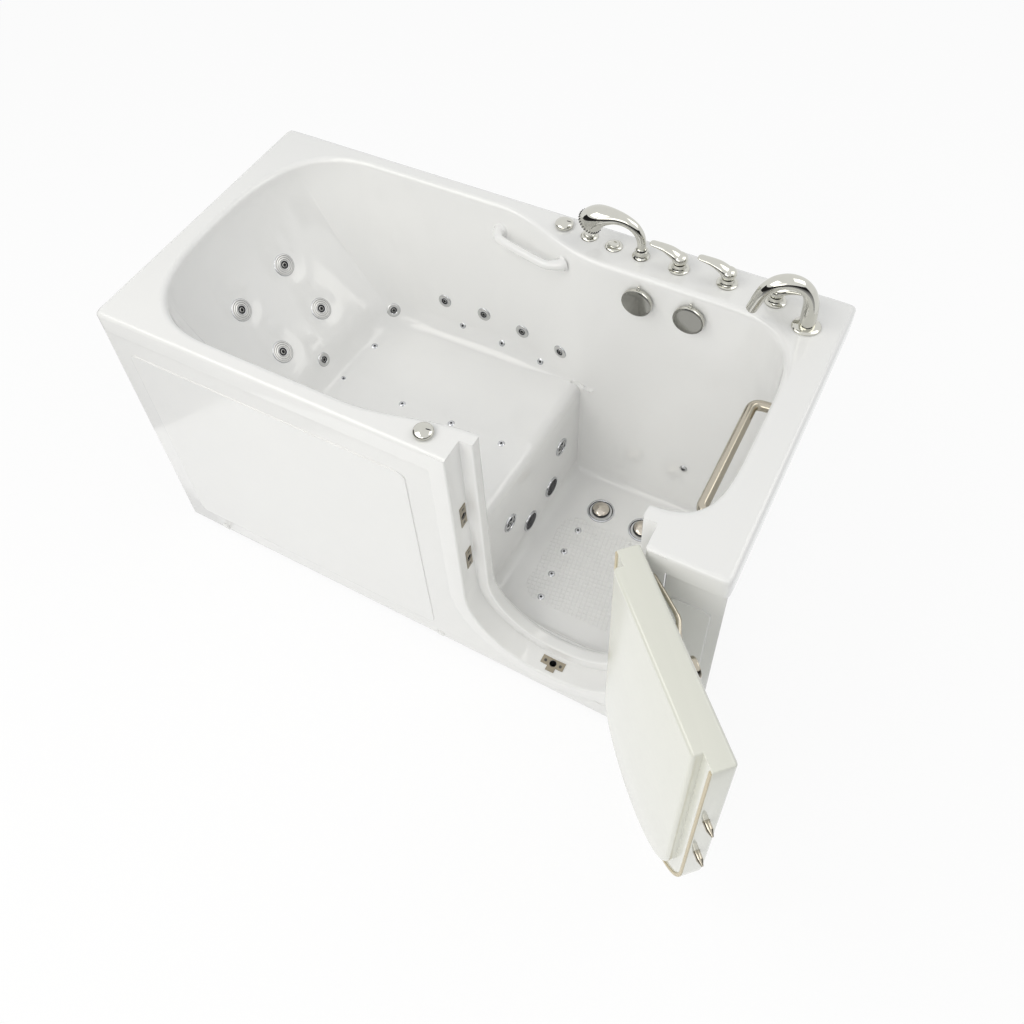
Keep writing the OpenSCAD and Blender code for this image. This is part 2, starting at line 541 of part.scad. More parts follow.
module levelling_feet() color("dimgray") for (p = feet_at) translate([p[0], p[1], 0]) {
    rotate_extrude() polygon([[0, 0], [pad_r, 0], [pad_r, 5], [pad_r - 5, 10], [stem_r + 3, 14], [stem_r, 14], [stem_r, rail_z + tube_w + 18], [0, rail_z + tube_w + 18]]);
}
module foot_lock_nuts() color("silver") for (p = feet_at, z = [rail_z - 7, rail_z + tube_w]) translate([p[0], p[1], z]) difference() {
    cylinder(r = 11, h = 7, $fn = 6);
    translate([0, 0, -1]) cylinder(r = stem_r + 0.1, h = 9);
}
// ---- door ----
module in_door() translate([hinge_x, hinge_y, 0]) rotate(door_open) translate([-hinge_x, -hinge_y, 0]) children();
// a place given in the closed door, carried to the open rest pose
function swing(p) = let (c = cos(door_open), s = sin(door_open), d = [p[0] - hinge_x, p[1] - hinge_y])
    [hinge_x + c * d[0] - s * d[1], hinge_y + s * d[0] + c * d[1], p[2]];
tray_profile = concat([[0, door_face_y], [door_r - door_edge_r, door_face_y]],
    arc_pts([door_r - door_edge_r, door_face_y + door_edge_r], door_edge_r, -90, 0),
    [[door_r, shoulder_y - door_wall], [door_r - door_wall, shoulder_y - door_wall],
     [door_r - door_wall, door_face_y + door_edge_r], [door_r - door_edge_r - 1, door_face_y + door_wall], [0, door_face_y + door_wall]]);
plug_profile = concat([[0, plug_y], [plug_r - door_edge_r, plug_y]],
    arc_pts([plug_r - door_edge_r, plug_y - door_edge_r], door_edge_r, 90, 0),
    [[plug_r, shoulder_y], [door_r, shoulder_y], [door_r, shoulder_y - door_wall], [plug_r - door_wall, shoulder_y - door_wall],
     [plug_r - door_wall, plug_y - door_edge_r], [plug_r - door_edge_r - 1, plug_y - door_wall], [0, plug_y - door_wall]]);
hinge_zs = [hinge_low_z, hinge_high_z];
module door_outer_shell() color("white") in_door() difference() {
    union() {
        sweep_u(tray_profile, door_top);
        bar([door_x - door_r + 1, door_face_y + 1, door_top - door_wall], [door_x + door_r - 1, shoulder_y - door_wall, door_top]);
        for (z = hinge_zs) translate([hinge_x, hinge_y, z - 2]) intersection() {
            cylinder(r = 2 * knuckle_r + 2, h = hinge_h + 4);
            translate([-30, 2, 0]) cube([30 + door_x + door_r - hinge_x - 1, 30, hinge_h + 4]);
        }
    }
    for (z = hinge_zs) {
        translate([hinge_x, hinge_y, z - 4]) cylinder(r = knuckle_r + 1, h = hinge_h + 8);
        bar([door_x + door_r - leaf_t, door_face_y - 20, z - 0.2], [door_x + door_r + 10, leaf_y1 + 0.2, z + hinge_h + 0.2]);
    }
    for (z = bolt_zs) translate([door_x - door_r - 1, bolt_y, z]) rotate([0, 90, 0]) cylinder(r = bolt_r + bolt_gap, h = 3 * door_wall);
    translate([door_x, bottom_bolt_y, arc_z - door_r - 1]) cylinder(r = bolt_r + bolt_gap, h = 3 * door_wall);
    translate([door_x, door_face_y - 1, handle_axis_z]) rotate([-90, 0, 0]) cylinder(r = spindle_r + bolt_gap, h = 3 * door_wall);
}
module door_inner_shell() color("white") in_door() union() {
    sweep_u(plug_profile, door_top);
    bar([door_x - plug_r + 1, shoulder_y - door_wall, door_top - door_wall], [door_x + plug_r - 1, plug_y - 1, door_top]);
}
module door_seal() color("wheat") in_door() sweep_u([[seal_r0, shoulder_y], [seal_r1, shoulder_y], [seal_r1, ridge_y - seal_gap - 1],
    [seal_r1 - 1.5, ridge_y - seal_gap], [seal_r0 + 1.5, ridge_y - seal_gap], [seal_r0, ridge_y - seal_gap - 1]], door_top - 6);
module knuckle(z0, z1) translate([hinge_x, hinge_y, z0]) difference() {
    cylinder(r = knuckle_r, h = z1 - z0);
    translate([0, 0, -1]) cylinder(r = pin_r + pin_gap, h = z1 - z0 + 2);
}
third = (hinge_h - 2 * knuckle_gap) / 3;
module frame_hinge_leaves() color("silver") for (z = hinge_zs) difference() {
    union() {
        bar([door_x + rebate_r - frame_leaf_t, hinge_y - 2, z], [door_x + rebate_r, leaf_y1, z + hinge_h]);
        for (k = [z, z + hinge_h - third]) {
            translate([hinge_x, hinge_y, k]) cylinder(r = knuckle_r, h = third);
            bar([hinge_x, hinge_y - 2, k], [door_x + rebate_r, hinge_y + 2, k + third]);
        }
    }
    translate([hinge_x, hinge_y, z - 1]) cylinder(r = pin_r + pin_gap, h = hinge_h + 2);
}
module door_hinge_leaves() color("silver") in_door() for (z = hinge_zs) difference() {
    union() {
        translate([hinge_x, hinge_y, z + third + knuckle_gap]) cylinder(r = knuckle_r, h = third);
        bar([door_x + door_r - leaf_t, hinge_y, z + third + knuckle_gap], [door_x + door_r, hinge_y + 12, z + 2 * third + knuckle_gap]);
        bar([door_x + door_r - leaf_t, hinge_y + 9, z], [door_x + door_r, leaf_y1, z + hinge_h]);
    }
    translate([hinge_x, hinge_y, z - 1]) cylinder(r = pin_r + pin_gap, h = hinge_h + 2);
}
module hinge_pins() color("silver") for (z = hinge_zs) translate([hinge_x, hinge_y, z]) {
    translate([0, 0, -2]) cylinder(r = pin_r, h = hinge_h + 4);
    for (k = [-2, hinge_h + 0.2]) translate([0, 0, k]) cylinder(r = pin_r + 1.5, h = 1.8);
}
handle_dir = [cos(handle_rise), 0, sin(handle_rise)];
function handle_pt(r, out) = [door_x, door_face_y - out, handle_axis_z] + r * handle_dir;
module door_handle() color("silver") in_door() union() {
    translate([door_x, door_face_y - handle_gap, handle_axis_z]) rotate([90, 0, 0]) rotate_extrude()
        polygon([[0, 0], [hub_r, 0], [hub_r, hub_h - 14], [hub_r - 1.2, hub_h - 13], [hub_r - 1.2, hub_h - 11], [hub_r, hub_h - 10],
                 [hub_r, hub_h - 2], [hub_r - 2, hub_h], [0, hub_h]]);
    ball_rod([handle_pt(0, 18), handle_pt(65, 18), handle_pt(90, 29), handle_pt(178, 11.5)], 5.5);
}
module latch_spindle() color("silver") in_door() translate([door_x, door_face_y, handle_axis_z]) rotate([-90, 0, 0]) {
    translate([0, 0, -handle_gap]) cylinder(r = spindle_r, h = handle_gap + door_wall + 9);
    translate([0, 0, door_wall + 3]) cylinder(r = 16, h = 6);
}
module side_bolts() color("silver") in_door() {
    for (z = bolt_zs) translate([door_x - door_r - bolt_out, bolt_y, z]) rotate([0, 90, 0]) rotate_extrude()
        polygon([[0, 0], [2, 0], [bolt_r, 12], [bolt_r, bolt_l], [0, bolt_l]]);
    bar([door_x - door_r - bolt_out + bolt_l - 14, bolt_y - 4, bolt_zs[0]], [door_x - door_r - bolt_out + bolt_l, bolt_y + 4, handle_axis_z - 30]);
}
module bottom_bolt() color("silver") in_door() {
    translate([door_x, bottom_bolt_y, arc_z - door_r - bolt_out]) rotate_extrude()
        polygon([[0, 0], [2, 0], [bolt_r, 12], [bolt_r, bolt_l], [4, bolt_l], [4, bottom_rod_top], [0, bottom_rod_top]]);
}
module strike_plate_holes(r) for (z = [-24, 24]) translate([0, z]) circle(r);
module side_strikes() color("silver") for (z = bolt_zs) translate([door_x - rebate_r, bolt_y, z]) rotate([90, 0, 90]) linear_extrude(strike_t)
    difference() {
        translate([-11, -35]) square([22, 70]);
        circle(strike_hole_r);
        strike_plate_holes(screw_head_r + 0.2);
    }
module strike_screws(grow = 0) color("silver") {
    for (z = bolt_zs, k = [-24, 24]) translate([door_x - rebate_r, bolt_y, z + k]) rotate([0, 90, 0]) {
        cylinder(r = screw_head_r, h = strike_t - 0.2);
        translate([0, 0, -wall - 4]) cylinder(r = screw_r + grow, h = wall + 4.5);
    }
    for (x = [-20, 20]) translate([door_x + x, bottom_bolt_y, arc_z - rebate_r + 1.5]) {
        cylinder(r = screw_head_r - 0.2, h = 1.6);
        translate([0, 0, -wall - 6]) cylinder(r = screw_r + grow, h = wall + 6.5);
    }
}
module bottom_strike() color("silver") difference() {
    intersection() {
        translate([door_x, 0, arc_z]) rotate([90, 0, 0]) difference() {
            cylinder(r = rebate_r - 0.15, h = tub_w, center = true);
            cylinder(r = rebate_r - strike_t, h = tub_w + 2, center = true);
        }
        union() {
            bar([door_x - 30, bottom_bolt_y - 10, 0], [door_x + 30, bottom_bolt_y + 12, arc_z]);
            bar([door_x - 11, bottom_bolt_y - 22, 0], [door_x + 11, bottom_bolt_y, arc_z]);
        }
    }
    translate([door_x, bottom_bolt_y, 0]) cylinder(r = strike_hole_r, h = arc_z);
    for (x = [-20, 20]) translate([door_x + x, bottom_bolt_y, 0]) cylinder(r = screw_head_r, h = arc_z);
}
// ---- water fittings ----
module jet(flange_r, shank_r, nozzle_r, l) rotate_extrude()
    polygon([[0, -l], [shank_r, -l], [shank_r, -jet_sink], [flange_r, -jet_sink], [flange_r, 1], [flange_r * 0.92, 3],
             [mix(nozzle_r, flange_r, 0.3), 4], [nozzle_r, 1], [nozzle_r * 0.5, 3], [nozzle_r * 0.35, 1], [0, 1]]);
module large_backrest_jets() color("silver") for (q = large_jets) on(q) jet(large_jet_r, large_shank_r, 15, large_jet_l);
module hydro_jet_set() color("silver") for (q = hydro_jets) on(q) jet(hydro_jet_r, hydro_shank_r, 10, hydro_jet_l);
module foot_jet_set() color("silver") for (q = foot_jets) on(q) jet(foot_jet_r, hydro_shank_r, 11, hydro_jet_l);
module air_jets() color("silver") {
    for (q = concat(small_jets, back_air, seat_air)) on(q) jet(air_jet_r, air_shank_r, 5, air_jet_l);
    for (p = floor_air) translate([p[0], p[1], floor_z + jet_sink]) jet(air_jet_r, air_shank_r, 5, floor_jet_l);
}
module nut(r, hole_r) translate([0, 0, -wall - 2 - nut_h]) difference() {
    cylinder(r = r, h = nut_h, $fn = 6);
    translate([0, 0, -1]) cylinder(r = hole_r + 0.2, h = nut_h + 2);
}
module jet_nuts() color("gray") {
    for (q = large_jets) on(q) nut(large_shank_r + 9, large_shank_r);
    for (q = concat(hydro_jets, foot_jets, suctions)) on(q) nut(hydro_shank_r + 8, hydro_shank_r);
}
module suction_covers() color("silver") for (q = suctions) on(q) difference() {
    rotate_extrude() polygon([[0, -suction_l], [hydro_shank_r, -suction_l], [hydro_shank_r, -jet_sink], [suction_r, -jet_sink], [suction_r, 2],
        [suction_r - 4, 6], [0, 8]]);
    for (a = [0:45:315], r = [11, 20]) rotate(a) translate([r, 0, 2]) cylinder(r = 2, h = 10);
    translate([0, 0, 2]) cylinder(r = 3, h = 10);
}
module drain_bodies() color("silver") for (p = drains) translate([p[0], p[1], floor_z]) difference() {
    union() {
        rotate_extrude() polygon([[drain_shank_r - 4, -drain_l + 3], [0, -drain_l + 3], [0, -drain_l], [drain_shank_r, -drain_l],
            [drain_shank_r, -jet_sink], [drain_r, -jet_sink], [drain_r, 1.5], [drain_shank_r - 4, 1.5]]);
        // cross that guides the stopper's stem
        translate([0, 0, -22]) cylinder(r = 8, h = 6);
        for (a = [0, 90]) rotate(a) translate([1 - drain_shank_r, -1.5, -22]) cube([2 * drain_shank_r - 2, 3, 6]);
    }
    translate([0, 0, -24]) cylinder(r = 4.05, h = 10);
}
module drain_stopper(p) color("silver") translate([p[0], p[1], floor_z + 1.8]) rotate_extrude()
    polygon(concat([[0, -30], [4, -30], [4, 0], [stopper_r, 0]],
        [for (a = [15:15:90]) [stopper_r * cos(a), 8 * sin(a)]]));
module overflow_bodies() color("silver") for (q = overflows) on(q) {
    rotate_extrude() polygon([[knob_bore, -overflow_l], [hydro_shank_r, -overflow_l], [hydro_shank_r, -jet_sink], [overflow_flange_r, -jet_sink],
        [overflow_flange_r, 4], [knob_bore, 4]]);
}
module overflow_knob(q) color("silver") on(q) {
    rotate_extrude() polygon([[0, -20], [knob_bore - 0.05, -20], [knob_bore - 0.05, 5], [overflow_r - 4, 5], [overflow_r, 8],
        [overflow_r, 15], [overflow_r - 3, 18], [0, 18]]);
    rotate([0, 0, 180]) translate([overflow_r - 4, -4, 7]) cube([16, 8, 7]);
}
module waste_pipes() color("gray") {
    z = floor_z - drain_l - waste_r - 0.2;
    end_x = drains[1][0] + waste_tail;
    difference() {
        ball_rod([[drains[0][0] - waste_r, drains[1][1], z], [end_x, drains[1][1], z]], waste_r);
        translate([end_x - waste_socket, drains[1][1], z]) rotate([0, 90, 0]) cylinder(r = waste_bore, h = waste_socket + 1);
    }
}
module valve_body(p) translate([p[0], p[1], deck_z]) {
    rotate_extrude() polygon([[0, -valve_l], [valve_shank_r, -valve_l], [valve_shank_r, 0], [24, 0], [24, 5], [20, 9], [14, 11], [12, 20], [0, 20]]);
}
module valve_bodies() color("silver") for (p = valve_at) valve_body(p);
module valve_lever(i) color("silver") translate([valve_at[i][0], valve_at[i][1], deck_z + 20.3]) rotate([0, 0, i == 2 ? 0 : 180]) {
    rotate_extrude() polygon([[0, 0], [12, 0], [15, 6], [15, 18], [10, 26], [0, 28]]);
    hull() {
        translate([0, 0, 16]) sphere(12, $fn = 32);
        translate([40, 0, 30]) scale([1.6, 1, 0.5]) sphere(9, $fn = 32);
        translate([64, 0, 29]) scale([1, 1.2, 0.4]) sphere(6, $fn = 32);
    }
}
module spout() color("silver") translate([spout_at[0], spout_at[1], deck_z]) rotate(spout_turn) {
    rotate_extrude() polygon([[0, -valve_l], [spout_shank_r, -valve_l], [spout_shank_r, 0], [31, 0], [31, 4], [28, 7], [19, 8], [0, 8]]);
    translate([0, 0, 7]) cylinder(r = spout_r, h = spout_rise - 7);
    translate([spout_reach / 2, 0, spout_rise]) mirror([1, 0, 0]) rotate([90, 0, 0]) {
        rotate_extrude(angle = spout_arc) translate([spout_reach / 2, 0]) circle(spout_r);
        for (a = [0, spout_arc]) rotate(a) translate([spout_reach / 2, 0, 0]) sphere(spout_r + 0.3);
        rotate(spout_arc) translate([spout_reach / 2, 0, 0]) rotate([-90, 0, 0]) cylinder(r = spout_r, h = spout_tip_l);
    }
}
module shower_holder() color("silver") translate([shower_at[0], shower_at[1], deck_z]) difference() {
    rotate_extrude() polygon([[0, -valve_l], [shower_shank_r, -valve_l], [shower_shank_r, 0], [20, 0], [20, 6], [15, 12], [15, 20], [0, 20]]);
    translate([0, 0, 4]) cylinder(r = shower_stem_r + 0.3, h = 20);
}
module hand_shower() color("silver") translate([shower_at[0], shower_at[1], deck_z]) {
    translate([0, 0, 4.3]) cylinder(r = shower_stem_r, h = 25);
    translate([0, 0, 20.3]) rotate_extrude() polygon([[0, 0], [13, 0], [13, 4], [10, 8], [0, 8]]);
    translate([-shower_bend_r, 0, 29]) rotate([90, 0, 0]) rotate_extrude(angle = shower_arc) translate([shower_bend_r, 0]) circle(10);
    translate([-shower_bend_r, 0, 29]) rotate([0, -shower_arc, 0]) translate([shower_bend_r, 0, -2])
        cylinder(r1 = 10.3, r2 = 19, h = 68);
    translate(shower_head) rotate(tilt(shower_dir)) rotate_extrude()
        polygon([[0, 2], [27, 2], [30, 0], [31, -5], [29, -14], [24, -24], [16, -32], [8, -36], [0, -37]]);
}
module knob_bodies() color("silver") for (p = knob_at) translate([p[0], p[1], deck_z]) difference() {
    union() {
        translate([0, 0, -knob_l]) cylinder(r = knob_body_r, h = knob_l);
        cylinder(r = 16, h = 2);
    }
    translate([0, 0, 5 - knob_l]) cylinder(r = 4.05, h = knob_l + 15);
}
module deck_knob(p) color("silver") translate([p[0], p[1], deck_z]) rotate_extrude()
    polygon(concat([[0, 7 - knob_l], [4, 7 - knob_l], [4, 2.3], [21, 2.3], [22, 5], [22, 8]], [for (a = [15:15:90]) [22 * cos(a), 8 + 9 * sin(a)]]));
module button_bodies() color("silver") for (p = button_at) translate([p[0], p[1], deck_z]) difference() {
    union() {
        translate([0, 0, -knob_l]) cylinder(r = button_body_r, h = knob_l);
        rotate_extrude() polygon([[0, 0], [21, 0], [21, 2], [17, 6], [0, 6]]);
    }
    translate([0, 0, 5 - knob_l]) cylinder(r = button_r + 0.1, h = knob_l + 15);
}
module deck_button(p) color("silver") translate([p[0], p[1], deck_z]) {
    rotate_extrude() polygon([[0, -20], [button_r, -20], [button_r, 8], [button_r - 2, 10], [button_r - 5, 9], [0, 8.5]]);
}
function seat_pt(q) = shell_pt(q[0], q[1], q[2]);
// where a leg that leaves the wall squarely meets the bar's long part
function bar_corner(q) = seat_pt(q) + (bar_x - seat_pt(q)[0]) / shell_normal(q)[0] * shell_normal(q);
module grab_bar() color("silver") union() {
    feet = [for (q = bar_ends) seat_pt(q) + shell_normal(q)];
    bent_rod([feet[0], bar_corner(bar_ends[0]), bar_corner(bar_ends[1]), feet[1]], bar_r, bar_bend_r);
    for (q = bar_ends) on(q) translate([0, 0, -jet_sink]) cylinder(r = bar_flange_r, h = 6);
}
handle_qs = [for (x = handle_feet) back_q(x, handle_z)];
module grab_handle() color("white") union() {
    out = [for (q = handle_qs) seat_pt(q) + 34 * shell_normal(q)];
    feet = [for (q = handle_qs) seat_pt(q) + shell_normal(q)];
    bent_rod([feet[0], out[0], out[1], feet[1]], handle_r, handle_bend_r);
    for (q = handle_qs) on(q) translate([0, 0, -jet_sink]) cylinder(r = handle_r + 5, h = 5);
}

tub_shell();
front_apron();
right_front_panel();
apron_clips();
support_frame();
levelling_feet();
foot_lock_nuts();
door_outer_shell();
door_inner_shell();
door_seal();
frame_hinge_leaves();
door_hinge_leaves();
hinge_pins();
door_handle();
latch_spindle();
side_bolts();
bottom_bolt();
side_strikes();
strike_screws();
bottom_strike();
large_backrest_jets();
hydro_jet_set();
foot_jet_set();
air_jets();
jet_nuts();
suction_covers();
drain_bodies();
drain_stopper(drains[0]);  // drain_stopper_left
drain_stopper(drains[1]);  // drain_stopper_right
overflow_bodies();
overflow_knob(overflows[0]);  // overflow_knob_left
overflow_knob(overflows[1]);  // overflow_knob_right
waste_pipes();
valve_bodies();
valve_lever(0);  // valve_lever_left
valve_lever(1);  // valve_lever_middle
valve_lever(2);  // valve_lever_right
spout();
shower_holder();
hand_shower();
knob_bodies();
deck_knob(knob_at[0]);  // front_knob
deck_knob(knob_at[1]);  // back_knob
button_bodies();
deck_button(button_at[0]);  // left_button
deck_button(button_at[1]);  // right_button
grab_bar();
grab_handle();
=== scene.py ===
"""Walk in bathtub with door: the finished look round the fixed frame of the part."""

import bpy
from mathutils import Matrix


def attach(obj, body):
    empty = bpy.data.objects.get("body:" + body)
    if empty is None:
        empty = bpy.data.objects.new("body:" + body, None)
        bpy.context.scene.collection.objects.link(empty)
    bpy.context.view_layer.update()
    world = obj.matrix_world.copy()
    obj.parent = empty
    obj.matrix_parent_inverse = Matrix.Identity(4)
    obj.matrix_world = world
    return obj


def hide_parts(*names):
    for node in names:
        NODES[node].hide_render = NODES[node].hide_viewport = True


bl_info = {
    "name": "Walk In Bathtub",
    "version": (1, 0, 0),
    "blender": (4, 5, 0),
    "location": "View3D > Sidebar > Bathtub",
    "description": "Builds the moulded skin, door, jets and deck fittings of a walk in bathtub",
    "category": "Add Mesh",
}
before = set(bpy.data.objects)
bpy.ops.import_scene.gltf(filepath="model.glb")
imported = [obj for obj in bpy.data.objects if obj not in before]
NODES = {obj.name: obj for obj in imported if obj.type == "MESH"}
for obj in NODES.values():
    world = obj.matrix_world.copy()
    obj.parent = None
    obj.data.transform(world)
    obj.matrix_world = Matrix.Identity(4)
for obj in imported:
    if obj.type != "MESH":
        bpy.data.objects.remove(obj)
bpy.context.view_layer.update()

import math

import bmesh
import bpy
import numpy as np
from bpy.props import FloatProperty, FloatVectorProperty, IntProperty, PointerProperty
from mathutils import Matrix, Vector

MM = 0.001

# ---- sizes of the tub, in millimetres, as the part has them ----
TUB_L, TUB_W, DECK_Z, WALL, LIP_H, DECK_EDGE_R = 1524, 762, 845, 8, 55, 10
RIM_R, SEAT_BACK_Z, SEAT_FRONT_Z, SEAT_FACE_X = 14, 405, 420, 176
SEAT_SKEW, SEAT_EDGE_R, FLOOR_Z, FLOOR_FILLET, SEAT_FILLET = 28, 30, 90, 28, 42
DOOR_X, RIDGE_R, REBATE_R, FRAME_R, ARC_Z = 385, 182, 213, 255, 300
FRONT_Y = -TUB_W / 2
RIDGE_Y = FRONT_Y + 59
INNER_Y = RIDGE_Y + 22
FOOT_Z = DECK_Z - RIM_R
WELL_FOOT_Z = FLOOR_Z + FLOOR_FILLET
FRONT_WALL_Y = INNER_Y + RIM_R
LEFT_CX, LEFT_CX_SEAT, RIGHT_CX = -450, -250, 450
N_RUN, N_QUAD = 8, 11
SCOOP_D, JET_SINK = 4, 2
SEAT_STEP, STEP_Y = 3.5, 6
# how the outlines blend: where a run's two halves meet and over what length, how a corner's points crowd to
# its middle, how soon a run leaves the well's outline, and how the backrest leans
RUN_MEET, RUN_BLEND, CORNER_CROWD, PART_RATE, LEAN_REACH, LEAN_BOW = 200, 300, 1.6, 2.2, 28, 0.55
# radii of what passes through the skin, and the play round it
LARGE_SHANK, JET_SHANK, AIR_SHANK, DRAIN_STEM, BOLT_HOLE_R, PLAY = 20, 13, 6, 20, 9, 0.3
KNOB_STEM, BUTTON_STEM, TAP_STEM, SHOWER_STEM = 9, 16, 14, 12
# outline: left, right, back-left y, back-right y, front-left y, front-right y, left, back and front power
DECK_O = (-TUB_L / 2, TUB_L / 2, TUB_W / 2, TUB_W / 2, FRONT_Y, FRONT_Y, 60, 60, 60)
RIM_O = (-716, 700, 350, 270, -350, INNER_Y, 2.7, 3.7, 5)
SEAT_O = (-392, 700, 222, 205, -222, FRONT_WALL_Y + FLOOR_FILLET, 3.2, 4, 5)
WELL_O = (-392, 655, 222, 190, -222, FRONT_WALL_Y + FLOOR_FILLET + 4, 3.2, 4, 5)
# front panels: front face, height of the toe band, raised fields as x0, z0, x1, z1 and corner
PANEL_Y, TOE = FRONT_Y + 4, 67
APRON_FIELD, RIGHT_FIELD = (-705, 68, 62, 727, 20), (657, 125, 737, 712, 12)
# door
DOOR_R = REBATE_R - 2.5
PLUG_R = RIDGE_R - 5
DOOR_FACE_Y = FRONT_Y + 9
SHOULDER_Y = DOOR_FACE_Y + 46
PLUG_Y = SHOULDER_Y + 20
DOOR_TOP = DECK_Z - 2
HINGE_X, HINGE_Y = DOOR_X + REBATE_R - 7.7, DOOR_FACE_Y - 2.5
HINGE_ZS, HINGE_H = (330, 690), 90
KNUCKLE_R = 5.6
HANDLE_Z = 740
BOLT_ZS, BOLT_R = (425, 600), 7
BOLT_Y, BOTTOM_BOLT_Y = SHOULDER_Y - 16, SHOULDER_Y - 20
SEAL_R, DOOR_SWING, LATCH_TILT = 203, 135, -16
# places on the moulded surface: role, share of the role's run, level
LARGE_JETS = [(1, .88, 4.51), (2, .12, 4.51), (1, .88, 4.835), (2, .12, 4.835)]
HYDRO_JETS = [(0, .93, 4.85), (0, .665, 4.85), (0, .41, 4.87), (0, .15, 4.89), (1, .4, 5.1)]
SCOOPED_JET = (2, .02, 5.07)
LEG_JET = (6, .95, 8.5)
BACK_AIR = [(0, .86, 5.02), (0, .57, 5.1), (0, .29, 5.19)]
SEAT_AIR = [(2, .02, 5.6), (2, .02, 6.335), (2, .01, 6.62), (1, .99, 6.9), (1, .76, 5.68)]
FOOT_JETS = [(0, .9, 8.42), (2, .69, 8.48)]
SUCTIONS = [(1, .276, 8.844), (2, .043, 8.908)]
OVERFLOWS = [(7, .509, 4.14), (7, .052, 4.14)]
BAR_ENDS = [(6, .1885, 4.2287), (5, .6721, 4.2287)]
FLOOR_AIR = [(274, 24), (269, -51), (270, -126), (276, -198)]
DRAINS = [(302, 108), (425, 103)]
KNOBS = {"front_knob": (100, -338), "back_knob": (78, 340)}
BUTTONS = {"left_button": (147, 333), "right_button": (213, 325)}
VALVES = {"left_lever": (375, 320), "middle_lever": (488, 322), "right_lever": (600, 315)}
SHOWER = (282, 322)
SPOUT, SPOUT_TURN = (683, 270), 200
BAR_X = 640
HANDLE_FEET = ((-88, 777), (108, 794))
# the handle's two legs, from foot to middle and from middle to foot: way out, way along and radius
HANDLE_LEGS = (((0.5, -2, 20), (12, -1, 15), (25, 8, 12), (32, 26, 11)),
               ((30, 34, 11), (20, 14, 12), (8, 2, 15), (0.5, 0, 20)))
# pockets of the backrest jets: place, half width, tail's length
SCOOPS = [(q, 47, 150) for q in LARGE_JETS] + [(SCOOPED_JET, 33, 90)]
# the floor's ribs: corners of their field, the two ways they run, and what they keep clear round
GRIP_LOW, GRIP_HIGH, GRIP_ANGLES, DRAIN_CLEAR, AIR_CLEAR = (222, -212), (548, 62), (8, 98), 44, 13
# paint of the jets, of which the third is painted shade in the cups, gaps and holes and the fourth is the grilles'
# grey, also laid as painted shade on the rings' grooves; and their nozzle's profile as shares of the cup's radius with
# heights
RING, BRIGHT, PAINTED_SHADE, GRILLE_AND_GROOVE_SHADE = range(4)
NOZZLE = ((0.94, 0.2), (0.66, -0.8), (0.64, 1.2), (0.56, 2.4), (0.46, 2.6), (0.4, 1.8), (0.38, -2.5), (0, -2.5))
# stage: soft boxes as place, aim, size and share of the power; the card's lower and upper edge as radius and
# height in millimetres; the camera as solved from the photograph
SOFT_BOXES = (((-1.6, -1.4, 3.4), (0, 0, 0.4), 2.2, 1.05), ((2.2, 1.2, 3.2), (0.2, 0, 0.5), 2.0, 0.62),
              ((0.2, -3.2, 2.4), (0.2, 0, 0.4), 2.4, 1.0))
LAMP_COLOUR, AIR_COLOUR, FLOOR_SHINE = (1.0, 0.98, 0.915), (0.965, 0.98, 1.0), 0.9
CARD_EDGES, CARD_GLOW, CARD_FADE = ((1400, 5), (2700, 1800)), 0.55, 0.6
CAMERA_AT, CAMERA_SHIFT = (0.90547, -1.32417, 2.47851), (0.02932, -0.13176)
CAMERA_AXES = ((0.87027882, 0.48856946, -0.06256716), (-0.33705051, 0.68332223, 0.64766325),
               (0.35918202, -0.54255932, 0.75935345))


# ---- settings a user may change ----
def colour_setting(name, description, default):
    return FloatVectorProperty(name=name, description=description, subtype="COLOR", size=3, min=0, max=1,
                               default=default)


class BathSkinSettings(bpy.types.PropertyGroup):
    """Sizes and colours of the moulded acrylic"""
    colour: colour_setting("Acrylic", "Colour of the moulded skin", (0.90, 0.90, 0.892))
    apron_colour: colour_setting("Aprons", "Colour of the front panels", (0.88, 0.88, 0.872))
    # the door's acrylic is darker than the skin's as painted shade
    door_painted_shade_colour: colour_setting("Door", "Colour of the door", (0.775, 0.78, 0.705))
    seal_colour: colour_setting("Seal", "Colour of the door seal", (0.66, 0.58, 0.42))
    gloss: FloatProperty(name="Gloss", description="Roughness of the acrylic's surface", min=0, max=1, default=0.1)
    fineness: IntProperty(name="Fineness", description="How finely the skin is divided", min=1, max=6, default=4)
    grip_pitch: FloatProperty(name="Grip pitch", description="Spacing of the anti-slip ribs", subtype="DISTANCE",
                              unit="LENGTH", min=0.005, max=0.03, default=0.0115)


class BathMetalSettings(bpy.types.PropertyGroup):
    """Colours of the metal pieces"""
    chrome: colour_setting("Chrome", "Tint of the polished fittings", (0.62, 0.615, 0.565))
    stainless: colour_setting("Stainless", "Tint of the grab bar and lever", (0.50, 0.46, 0.38))
    strike: colour_setting("Strikes", "Tint of the strike plates", (0.34, 0.30, 0.23))


class BathStageSettings(bpy.types.PropertyGroup):
    """Floor, light and camera"""
    floor: colour_setting("Floor", "Colour of the floor and backdrop", (1.0, 1.0, 1.0))
    sky: FloatProperty(name="Room light", description="Strength of the light from all round", min=0, max=3,
                       default=0.53)
    lamps: FloatProperty(name="Lamps", description="Power of the soft boxes", subtype="POWER", unit="POWER",
                         min=0, max=500, default=30.5)
    focal: FloatProperty(name="Focal length", description="Camera's focal length in millimetres", min=10, max=200,
                         default=36.2261)


